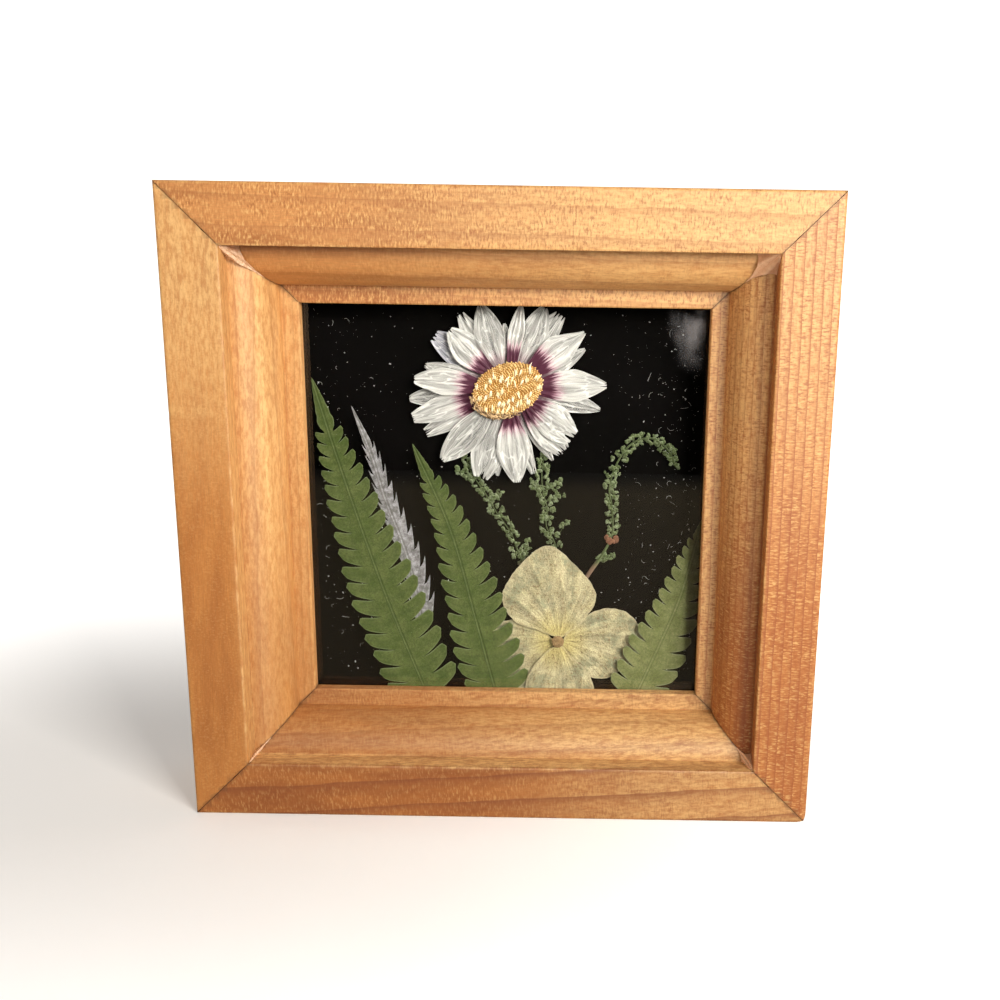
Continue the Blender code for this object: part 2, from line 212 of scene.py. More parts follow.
def paint_values(obj: Piece, name: str, values: Sequence[float]) -> None:
    """Stores one value for each point of the mesh, for the finish to read."""
    layer = obj.data.attributes.new(name, "FLOAT", "POINT")
    layer.data.foreach_set("value", values)


def paint_marks(obj: Piece, marks: Marks) -> None:
    """Stores each named list of values on the mesh's points."""
    for name, values in marks.items():
        paint_values(obj, name, values)


def scattered(
    name: str, template: Piece, places: Sequence[tuple[Matrix, float]]
) -> Piece:
    """Makes one mesh of many copies of a small shape, and removes the shape.

    Args:
        name: The new object's name.
        template: The small shape, modelled around the origin in millimetres.
        places: Each copy's matrix on the picture, in metres, and its tint from 0 to 1.

    Returns:
        The joined copies. Their points hold the tint, and how far out on the shape they are.
    """
    corners = [vertex.co.copy() for vertex in template.data.vertices]
    spread = [hypot(corner.x - 0.3, corner.z) for corner in corners]
    faces = [tuple(face.vertices) for face in template.data.polygons]
    points: list[Vector] = []
    rings: list[tuple[int, ...]] = []
    tints: list[float] = []
    rims: list[float] = []
    for matrix, tint in places:
        first = len(points)
        points += [matrix @ corner for corner in corners]
        turned = faces if matrix.determinant() > 0 else [face[::-1] for face in faces]
        rings += [tuple(first + i for i in face) for face in turned]
        tints += [tint] * len(corners)
        rims += spread
    mesh = bpy.data.meshes.new(name)
    mesh.from_pydata(points, [], rings)
    mesh.shade_smooth()
    made = bpy.data.objects.new(name, mesh)
    bpy.context.scene.collection.objects.link(made)
    paint_marks(made, {"tint": tints, "rim": rims})
    bpy.data.objects.remove(template)
    return made


def placed(
    across: float, up: float, depth: float, turn: float, size: Triple
) -> Matrix:
    """A matrix that lays a template on the picture.

    Args:
        across: Where it lies, in millimetres.
        up: Where it lies, in millimetres.
        depth: Where it lies, in millimetres.
        turn: Angle of its own X axis from the right, in radians, anticlockwise.
        size: Millimetres for one unit of its own X, Y (out of the picture) and Z axes.

    Returns:
        The matrix in metres.
    """
    spot = Matrix.Translation(picture_point(across, up, depth))
    return spot @ Matrix.Rotation(-turn, 4, "Y") @ Matrix.Diagonal((*(s * MM for s in size), 1.0))


def ball(cuts: int = 1) -> Piece:
    """A small faceted ball of radius 1, to be shaped into a bud, a grain or a speck."""
    select_only()
    bpy.ops.mesh.primitive_ico_sphere_add(subdivisions=cuts, radius=1.0)
    return bpy.context.object


@dataclass
class Route:
    """A smooth line through points on the picture."""

    points: Sequence[Point]
    step: float = 0.5

    def __post_init__(self) -> None:
        """Runs the smooth line and measures it."""
        ends = [
            2 * Vector(self.points[0]) - Vector(self.points[1]),
            2 * Vector(self.points[-1]) - Vector(self.points[-2]),
        ]
        guides = [ends[0], *(Vector(point) for point in self.points), ends[1]]
        self.line: list[Vector] = []
        for before, start, end, after in zip(guides, guides[1:], guides[2:], guides[3:]):
            count = max(2, round((end - start).length / self.step))
            self.line += [between(before, start, end, after, i / count) for i in range(count)]
        self.line.append(guides[-2])
        self.travelled = [0.0]
        for here, there in zip(self.line, self.line[1:]):
            self.travelled.append(self.travelled[-1] + (there - here).length)

    @property
    def length(self) -> float:
        """The line's whole length in millimetres."""
        return self.travelled[-1]

    def at(self, share: float) -> tuple[Vector, Vector]:
        """The point at a share of the length, and the heading there."""
        wanted = min(max(share, 0.0), 1.0) * self.length
        i = min(
            max(k for k, distance in enumerate(self.travelled) if distance <= wanted),
            len(self.line) - 2,
        )
        part = (wanted - self.travelled[i]) / (self.travelled[i + 1] - self.travelled[i])
        ahead = self.heading(i).lerp(self.heading(i + 1), part).normalized()
        return self.line[i].lerp(self.line[i + 1], part), ahead

    def heading(self, i: int) -> Vector:
        """The direction of the line at one of its points."""
        return (
            self.line[min(i + 1, len(self.line) - 1)] - self.line[max(i - 1, 0)]
        ).normalized()

    def beside(self, share: float, sideways: float) -> Point:
        """The point at a share of the length, moved sideways to its right when positive."""
        here, ahead = self.at(share)
        return here.x + sideways * ahead.y, here.y - sideways * ahead.x


def between(before: Vector, start: Vector, end: Vector, after: Vector, t: float) -> Vector:
    """A point on the smooth curve from start to end that heads for the points on either side."""
    return 0.5 * (
        2 * start
        + (end - before) * t
        + (2 * before - 5 * start + 4 * end - after) * t * t
        + (3 * start - before - 3 * end + after) * t**3
    )


def stalk(
    name: str, route: Route, depth: float, radius: Callable[[float], float], sides: int = 8
) -> Piece:
    """A pressed stalk along a route, slightly flattened, closed at both ends.

    Args:
        name: The new object's name.
        route: The stalk's middle line.
        depth: Depth of the middle line, in millimetres.
        radius: Half its width in millimetres at a share of its length.
        sides: Faces round it.

    Returns:
        The stalk.
    """
    count = max(6, round(route.length / 0.6))

    def rule(around: float, along: float) -> Triple:
        end = min(1.0, sqrt(max(0.0, 4 * count * min(along, 1 - along))))
        wide = radius(along) * end
        across, up = route.beside(along, wide * cos(around * tau))
        return across, up, depth - 0.6 * wide * sin(around * tau)

    made = sheet(name, sides, count, rule)
    close_surface(made)
    smooth(made, 60)
    return made


# ---- Finishes ----------------------------------------------------

Feed = Socket | float | Sequence[float]


@dataclass
class Wiring:
    """Places and links shader nodes in one node tree."""

    tree: Tree

    def add(self, kind: str, **settings: Any) -> Node:
        """Adds a node of this kind with these settings."""
        node = self.tree.nodes.new(f"ShaderNode{kind}")
        for name, value in settings.items():
            setattr(node, name, value)
        return node

    def group_end(self, which: str) -> Node:
        """The node inside a group that holds its inputs or its outputs."""
        return self.tree.nodes.new(f"NodeGroup{which}")

    def feed(self, socket: Socket, value: Feed) -> None:
        """Links an output to the input, or sets the input's own value."""
        if isinstance(value, Socket):
            self.tree.links.new(value, socket)
        else:
            socket.default_value = value

    def math(self, operation: str, first: Feed, second: Feed = 0.0) -> Socket:
        """One sum of two values."""
        node = self.add("Math", operation=operation)
        self.feed(node.inputs[0], first)
        self.feed(node.inputs[1], second)
        return node.outputs[0]

    def plus(self, first: Feed, second: Feed) -> Socket:
        """Two values added."""
        return self.math("ADD", first, second)

    def times(self, first: Feed, second: Feed) -> Socket:
        """Two values multiplied."""
        return self.math("MULTIPLY", first, second)

    def stretched(self, vector: Feed, factors: Feed) -> Socket:
        """A vector with each part multiplied by its own factor."""
        return self.vector("MULTIPLY", vector, factors)

    def vector(self, operation: str, first: Feed, second: Feed) -> Socket:
        """One sum of two vectors."""
        node = self.add("VectorMath", operation=operation)
        self.feed(node.inputs[0], first)
        self.feed(node.inputs[1], second)
        return node.outputs[1 if operation in ("LENGTH", "DOT_PRODUCT") else 0]

    def mix(self, share: Feed, first: Feed, second: Feed) -> Socket:
        """A colour between two colours."""
        node = self.add("Mix", data_type="RGBA")
        self.feed(node.inputs[0], share)
        for socket, value in ((node.inputs[6], first), (node.inputs[7], second)):
            plain = isinstance(value, tuple) and len(value) == 3
            self.feed(socket, (*value, 1.0) if plain else value)
        return node.outputs[2]

    def shade(self, colour: Feed, factor: Feed) -> Socket:
        """A colour made lighter or darker by a factor."""
        return self.vector("MULTIPLY", colour, self.triple(factor))

    def triple(self, value: Feed) -> Socket:
        """A value as all three parts of a vector."""
        node = self.add("CombineXYZ")
        for socket in node.inputs:
            self.feed(socket, value)
        return node.outputs[0]

    def speckle(
        self, place: Feed, scale: float, detail: float = 2.0, roughness: float = 0.5
    ) -> Socket:
        """Noise from 0 to 1 with this many lumps to a unit."""
        node = self.add("TexNoise")
        self.feed(node.inputs["Vector"], place)
        node.inputs["Scale"].default_value = scale
        node.inputs["Detail"].default_value = detail
        node.inputs["Roughness"].default_value = roughness
        return node.outputs["Fac"]

    def streaks(
        self, place: Feed, stretch: Sequence[float], detail: float = 2.0, roughness: float = 0.5
    ) -> Socket:
        """Noise from 0 to 1 with these many lumps to a unit along each axis."""
        return self.speckle(self.vector("MULTIPLY", place, stretch), 1.0, detail, roughness)

    def split(self, vector: Feed) -> Sequence[Socket]:
        """The three parts of a vector."""
        node = self.add("SeparateXYZ")
        self.feed(node.inputs[0], vector)
        return node.outputs

    def length(self, vector: Feed) -> Socket:
        """How long a vector is."""
        return self.vector("LENGTH", vector, (0.0, 0.0, 0.0))

    def ramp(
        self, value: Feed, low: float, high: float, start: float = 0.0, end: float = 1.0
    ) -> Socket:
        """A smooth step from start, where the value is low, to end, where it is high."""
        node = self.add("MapRange", interpolation_type="SMOOTHSTEP")
        for socket, fed in zip(node.inputs, (value, low, high, start, end)):
            self.feed(socket, fed)
        return node.outputs["Result"]

    def attribute(self, name: str) -> Socket:
        """A value stored on the piece's points."""
        return self.add("Attribute", attribute_name=name).outputs["Fac"]

    def object_place(
        self, middle: Vector = Vector(), turn: Sequence[float] = (0.0, 0.0, 0.0)
    ) -> Socket:
        """Millimetres from a point of the object, turned to a pattern's own axes."""
        node = self.add("Mapping", vector_type="POINT")
        self.feed(node.inputs["Vector"], self.add("TexCoord").outputs["Object"])
        scale = 1 / MM
        rotation = Matrix.Rotation(turn[2], 3, "Z") @ Matrix.Rotation(turn[1], 3, "Y")
        rotation = rotation @ Matrix.Rotation(turn[0], 3, "X")
        node.inputs["Scale"].default_value = (scale, scale, scale)
        node.inputs["Rotation"].default_value = turn
        node.inputs["Location"].default_value = -(rotation @ (middle * scale))
        return node.outputs["Vector"]

    def group(self, tree: Tree, **values: Feed) -> Node:
        """Places a node group and feeds its inputs, named with underscores for spaces."""
        node = self.add("Group", node_tree=tree)
        for name, value in values.items():
            self.feed(node.inputs[name.replace("_", " ")], value)
        return node


def new_group(name: str, inputs: dict[str, Feed], outputs: dict[str, str]) -> tuple[Any, Any, Any]:
    """Makes an empty node group.

    Args:
        name: The group's name.
        inputs: Each input's name and default: a value, or three or four numbers.
        outputs: Each output's name and socket type.

    Returns:
        The group's wiring, its input node and its output node.
    """
    tree = bpy.data.node_groups.new(name, "ShaderNodeTree")
    for label, value in inputs.items():
        kind = "NodeSocketFloat"
        if isinstance(value, tuple):
            kind = "NodeSocketColor" if len(value) == 4 else "NodeSocketVector"
        socket = tree.interface.new_socket(label, in_out="INPUT", socket_type=kind)
        socket.default_value = value
    for label, kind in outputs.items():
        tree.interface.new_socket(label, in_out="OUTPUT", socket_type=kind)
    wiring = Wiring(tree)
    return wiring, wiring.group_end("Input"), wiring.group_end("Output")


def new_material(name: str) -> tuple[Material, Wiring, Node]:
    """A new material, its wiring and its Principled shader."""
    material = bpy.data.materials.new(name)
    material.use_nodes = True
    wiring = Wiring(material.node_tree)
    return material, wiring, material.node_tree.nodes["Principled BSDF"]


def set_plain(shader: Node, **values: Feed) -> None:
    """Sets inputs that are the same all over, named with underscores for spaces."""
    for name, value in values.items():
        shader.inputs[name.replace("_", " ")].default_value = value


def bumped(
    wiring: Wiring, shader: Node, height: Feed, depth: float, strength: float = 1.0
) -> None:
    """Raises the surface by a height pattern, up to depth millimetres."""
    bump = wiring.add("Bump")
    bump.inputs["Strength"].default_value = strength
    bump.inputs["Distance"].default_value = depth * MM
    wiring.feed(bump.inputs["Height"], height)
    wiring.feed(shader.inputs["Normal"], bump.outputs["Normal"])


def dress(obj: Piece, material: Material) -> None:
    """Gives the whole piece one finish."""
    obj.data.materials.clear()
    obj.data.materials.append(material)


def redress(node: str, material: Material) -> Piece:
    """Gives a carried-over part its finish and leaves its shape alone."""
    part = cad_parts[node]
    for slot in part.material_slots:
        slot.material = material
    return part


# Paler, yellower wood for rubbed edges and for painted light where light falls on the rails.
RUBBED_AND_LIT_WOOD = (0.88, 0.54, 0.21)
PALE_FLECK = (0.88, 0.54, 0.20)
# Dark brown for the mitre joints and for painted shade in recesses and towards the bottom.
JOINT_AND_SHADE_DARK = (0.09, 0.035, 0.014)


def wood_group() -> Tree:
    """Planed wood with growth rings about the Z axis and the grain along it.

    Returns:
        A group that puts out the wood's colour, roughness and height.
    """
    inputs = {
        "Place": (0.0, 0.0, 0.0),
        "Light": (0.6, 0.27, 0.09, 1.0),
        "Dark": (0.4, 0.15, 0.04, 1.0),
        "Ring Spacing": 2.0,
        "Ring Depth": 0.5,
        "Wander": 0.6,
        "Fleck": 0.5,
        "Fleck Length": 1.2,
        "Weave": 0.0,
        "Blotch": 0.5,
    }
    outputs = {
        "Color": "NodeSocketColor",
        "Roughness": "NodeSocketFloat",
        "Height": "NodeSocketFloat",
    }
    w, given, made = new_group("planed wood", inputs, outputs)
    place = given.outputs["Place"]
    wander = w.math("SUBTRACT", w.streaks(place, (0.09, 0.09, 0.018), 3.0), 0.5)
    fine_wander = w.math("SUBTRACT", w.streaks(place, (0.8, 0.8, 0.08)), 0.5)
    radius = w.length(w.stretched(place, (1.0, 1.0, 0.0)))
    swing = w.times(wander, given.outputs["Wander"])
    ring = w.math("DIVIDE", w.plus(radius, swing), given.outputs["Ring Spacing"])
    ring = w.plus(ring, w.times(fine_wander, 0.22))
    within = w.math("FRACT", ring)
    number = w.math("FLOOR", ring)
    late = w.math("POWER", within, 5.0)
    after = w.ramp(within, 0.0, 0.05, 1.0, 0.0)
    line = w.math("MAXIMUM", late, after)
    broad = w.streaks(place, (0.16, 0.16, 0.03), 3.0, 0.6)
    tone = w.ramp(broad, 0.3, 0.7)
    tone = w.times(tone, given.outputs["Blotch"])
    line = w.times(line, given.outputs["Ring Depth"])
    line = w.times(line, w.attribute("figure"))
    colour = w.mix(w.ramp(tone, 0.0, 1.5), given.outputs["Light"], given.outputs["Dark"])

    fibre = w.streaks(place, (5.0, 5.0, 0.35), 3.0, 0.65)
    pore = w.streaks(place, (9.0, 9.0, 0.8), 2.0)
    fibre_tone = w.ramp(fibre, 0.25, 0.75, 0.90, 1.10)
    pores = w.ramp(pore, 0.30, 0.42, 0.86, 1.0)
    colour = w.shade(colour, w.times(fibre_tone, pores))

    # Rubbed arrises and painted light: the wood pales towards the upper right and on faces turned to
    # the light.
    wear_and_painted_light = w.attribute("wear_and_painted_light")
    mottle = w.ramp(w.streaks(place, (1.5, 1.5, 0.4), 3.0, 0.7), 0.3, 0.7)
    rubbed_and_lit = w.times(wear_and_painted_light, w.plus(0.25, w.times(mottle, 0.75)))
    colour = w.mix(w.times(rubbed_and_lit, 0.9), colour, RUBBED_AND_LIT_WOOD)

    side = w.math("DIVIDE", 1.0, given.outputs["Fleck Length"])
    step_aside = w.times(w.times(number, 17.3), given.outputs["Weave"])
    x, y, z = w.split(place)
    across = w.add("CombineXYZ")
    w.feed(across.inputs[0], w.plus(w.times(x, side), step_aside))
    w.feed(across.inputs[1], w.times(y, side))
    w.feed(across.inputs[2], w.times(z, 2.5))
    fleck = w.speckle(across.outputs[0], 1.0, 2.5, 0.6)
    patch = w.streaks(place, (0.35, 0.35, 0.16), 2.0)
    fleck_share = w.times(given.outputs["Fleck"], w.ramp(patch, 0.25, 0.65, 0.35, 1.0))
    fleck_share = w.times(fleck_share, w.attribute("flat"))
    pale = w.times(w.ramp(fleck, 0.50, 0.66, 0.0, 0.36), fleck_share)
    colour = w.mix(pale, colour, PALE_FLECK)
    deep = w.times(w.ramp(fleck, 0.36, 0.49, 0.34, 0.0), fleck_share)
    colour = w.mix(deep, colour, given.outputs["Dark"])
    colour = w.mix(w.times(line, 0.9), colour, given.outputs["Dark"])
    # Dark mitre joints, and painted shade in the step's recess, at the ovolo's foot and towards the
    # bottom.
    joint_dark_and_painted_shade = w.attribute("joint_dark_and_painted_shade")
    colour = w.mix(w.times(joint_dark_and_painted_shade, 0.75), colour, JOINT_AND_SHADE_DARK)
    w.feed(made.inputs["Color"], colour)
    rough = w.plus(0.43, w.times(line, 0.10))
    rough = w.plus(rough, w.ramp(fibre, 0.2, 0.8, -0.05, 0.06))
    w.feed(made.inputs["Roughness"], w.plus(rough, w.times(wear_and_painted_light, 0.1)))
    w.feed(made.inputs["Height"], w.plus(w.times(fibre, 0.5), w.times(pores, 0.3)))
    return w.tree


def dried_group() -> Tree:
    """The blotches and fine grain that pressed plants share.

    Returns:
        A group that puts out a colour between Fresh and Faded, and a height.
    """
    inputs = {
        "Place": (0.0, 0.0, 0.0),
        "Fresh": (0.1, 0.15, 0.05, 1.0),
        "Faded": (0.2, 0.25, 0.1, 1.0),
        "Blotch Scale": 0.4,
        "Grain": 0.2,
    }
    outputs = {"Color": "NodeSocketColor", "Height": "NodeSocketFloat"}
    w, given, made = new_group("dried plant", inputs, outputs)
    place = given.outputs["Place"]
    scaled = w.stretched(place, w.triple(given.outputs["Blotch Scale"]))
    blotch = w.ramp(w.speckle(scaled, 1.0, 4.0, 0.6), 0.32, 0.68)
    grain = w.speckle(place, 7.0, 3.0, 0.7)
    cell = w.speckle(place, 2.6, 2.0, 0.6)
    spread = given.outputs["Grain"]
    tone = w.plus(1.0, w.times(w.ramp(grain, 0.25, 0.75, -1.0, 1.0), spread))
    tone = w.plus(tone, w.times(w.ramp(cell, 0.3, 0.7, -0.5, 0.5), spread))
    colour = w.mix(blotch, given.outputs["Fresh"], given.outputs["Faded"])
    w.feed(made.inputs["Color"], w.shade(colour, tone))
    w.feed(made.inputs["Height"], w.plus(w.times(grain, 0.4), cell))
    return w.tree


class Side(Enum):
    """The frame's four sides, each with its quarter turns from the bottom one."""

    BOTTOM = 0
    RIGHT = 1
    TOP = 2
    LEFT = 3

    @property
    def label(self) -> str:
        """The side's name in lower case."""
        return self.name.lower()


@dataclass(frozen=True)
class WoodFinish:
    """One rail's piece of wood: its colours, its rings and its figure."""

    light: Colour
    dark: Colour
    heart: Triple
    tilt: Triple
    ring_spacing: float
    ring_depth: float
    wander: float
    fleck: float
    fleck_length: float
    weave: float
    blotch: float

    def material(self, side: Side, group: Tree) -> Material:
        """Makes the rail's material.

        Args:
            side: Which rail it is for.
            group: The shared wood group.

        Returns:
            The material.
        """
        material, wiring, shader = new_material(f"{side.label} rail wood")
        lying = side in (Side.BOTTOM, Side.TOP)
        turn = (self.tilt[0], self.tilt[1] - (pi / 2 if lying else 0.0), self.tilt[2])
        place = wiring.object_place(picture_point(*self.heart), turn)
        node = wiring.group(
            group,
            Place=place,
            Light=(*self.light, 1.0),
            Dark=(*self.dark, 1.0),
            Ring_Spacing=self.ring_spacing,
            Ring_Depth=self.ring_depth,
            Wander=self.wander,
            Fleck=self.fleck,
            Fleck_Length=self.fleck_length,
            Weave=self.weave,
            Blotch=self.blotch,
        )
        wiring.feed(shader.inputs["Base Color"], node.outputs["Color"])
        wiring.feed(shader.inputs["Roughness"], node.outputs["Roughness"])
        bumped(wiring, shader, node.outputs["Height"], 0.05, 0.8)
        set_plain(shader, Specular_IOR_Level=0.55)
        return material


WOODS = {
    Side.LEFT: WoodFinish(
        light=(0.58, 0.225, 0.048), dark=(0.37, 0.108, 0.016), heart=(-100.0, -10.0, 47.0),
        tilt=(radians(0.5), radians(-1.1), 0.0), ring_spacing=1.5, ring_depth=0.5, wander=1.3,
        fleck=0.45, fleck_length=0.6, weave=0.0, blotch=0.85,
    ),
    Side.TOP: WoodFinish(
        light=(0.64, 0.275, 0.080), dark=(0.36, 0.110, 0.022), heart=(0.0, -30.0, 30.0),
        tilt=(0.0, radians(-1.2), 0.0), ring_spacing=5.6, ring_depth=0.42, wander=1.0,
        fleck=2.1, fleck_length=1.2, weave=0.0, blotch=0.85,
    ),
    Side.RIGHT: WoodFinish(
        light=(0.57, 0.205, 0.050), dark=(0.36, 0.078, 0.014), heart=(-30.0, 0.0, 60.0),
        tilt=(0.0, radians(0.2), 0.0), ring_spacing=1.72, ring_depth=0.85, wander=0.9,
        fleck=2.0, fleck_length=1.4, weave=1.0, blotch=0.85,
    ),
    Side.BOTTOM: WoodFinish(
        light=(0.47, 0.160, 0.033), dark=(0.24, 0.056, 0.010), heart=(0.0, -130.0, -45.0),
        tilt=(0.0, radians(4.2), 0.0), ring_spacing=5.6, ring_depth=0.8, wander=2.4,
        fleck=0.9, fleck_length=1.4, weave=0.0, blotch=0.85,
    ),
}  # fmt: skip


@dataclass(frozen=True)
class PlainFinish:
    """A finish of two near colours with a fine grain."""

    name: str
    light: Colour
    dark: Colour
    scale: float
    roughness: float
    relief: float
    metallic: float = 0.0
    stretch: Triple = (1.0, 1.0, 1.0)
    gloss: float = 0.4

    def material(self) -> Material:
        """Makes the material."""
        material, wiring, shader = new_material(self.name)
        place = wiring.stretched(wiring.object_place(), self.stretch)
        lumps = wiring.speckle(place, self.scale, 4.0, 0.65)
        fine = wiring.speckle(place, self.scale * 6, 3.0, 0.6)
        share = wiring.ramp(wiring.plus(lumps, wiring.times(fine, 0.5)), 0.5, 1.0)
        wiring.feed(shader.inputs["Base Color"], wiring.mix(share, self.dark, self.light))
        rough = wiring.ramp(fine, 0.3, 0.7, self.roughness - 0.06, self.roughness + 0.06)
        wiring.feed(shader.inputs["Roughness"], rough)
        set_plain(shader, Metallic=self.metallic, Specular_IOR_Level=self.gloss)
        bumped(wiring, shader, fine, self.relief)
        return material


CARD = PlainFinish(
    "black card", (0.0022, 0.0017, 0.0014), (0.0012, 0.0010, 0.0008), 3.0, 0.86, 0.02, gloss=0.05
)
BOARD = PlainFinish("brown backing board", (0.30, 0.185, 0.10), (0.19, 0.11, 0.055), 0.9, 0.74, 0.06)
STEEL = PlainFinish(
    "framer's points", (0.62, 0.61, 0.59), (0.34, 0.33, 0.32), 0.8, 0.36, 0.01,
    metallic=1.0, stretch=(1.0, 1.0, 6.0),
)  # fmt: skip
FILLER = PlainFinish("dried wood filler", (0.90, 0.56, 0.34), (0.74, 0.42, 0.24), 1.1, 0.55, 0.02)
GLUE = PlainFinish("dried glue", (0.92, 0.66, 0.45), (0.66, 0.36, 0.19), 1.3, 0.25, 0.03, gloss=0.8)
DUST = PlainFinish("pale dust", (0.62, 0.62, 0.60), (0.30, 0.30, 0.29), 4.0, 0.9, 0.01)
DISC_BED = PlainFinish("disc bed", (0.52, 0.24, 0.035), (0.22, 0.09, 0.015), 1.4, 0.9, 0.08)
BROWN_BIT = PlainFinish("brown bit", (0.26, 0.11, 0.055), (0.12, 0.05, 0.03), 2.0, 0.8, 0.05)
BUTTON = PlainFinish("dried stamens", (0.34, 0.22, 0.10), (0.15, 0.085, 0.035), 2.4, 0.85, 0.04)


def pane_material() -> Material:
    """Clear picture glass, faintly green, with a trace of grease in its gloss."""
    material, wiring, shader = new_material("picture glass")
    set_plain(shader, Base_Color=(0.965, 0.985, 0.975, 1.0), Transmission_Weight=1.0, IOR=1.5)
    grease = wiring.speckle(wiring.object_place(), 0.12, 4.0, 0.6)
    wiring.feed(shader.inputs["Roughness"], wiring.ramp(grease, 0.35, 0.75, 0.0, 0.008))
    return material


# ---- Wooden frame ------------------------------------------------


# How strong each rail's growth lines are on its band and on its moulded part, and its flecks there.
FIGURE = {
    Side.BOTTOM: (1.0, 0.42, 0.5),
    Side.RIGHT: (1.0, 0.7, 0.9),
    Side.TOP: (1.0, 1.0, 0.3),
    Side.LEFT: (0.15, 0.8, 0.5),
}


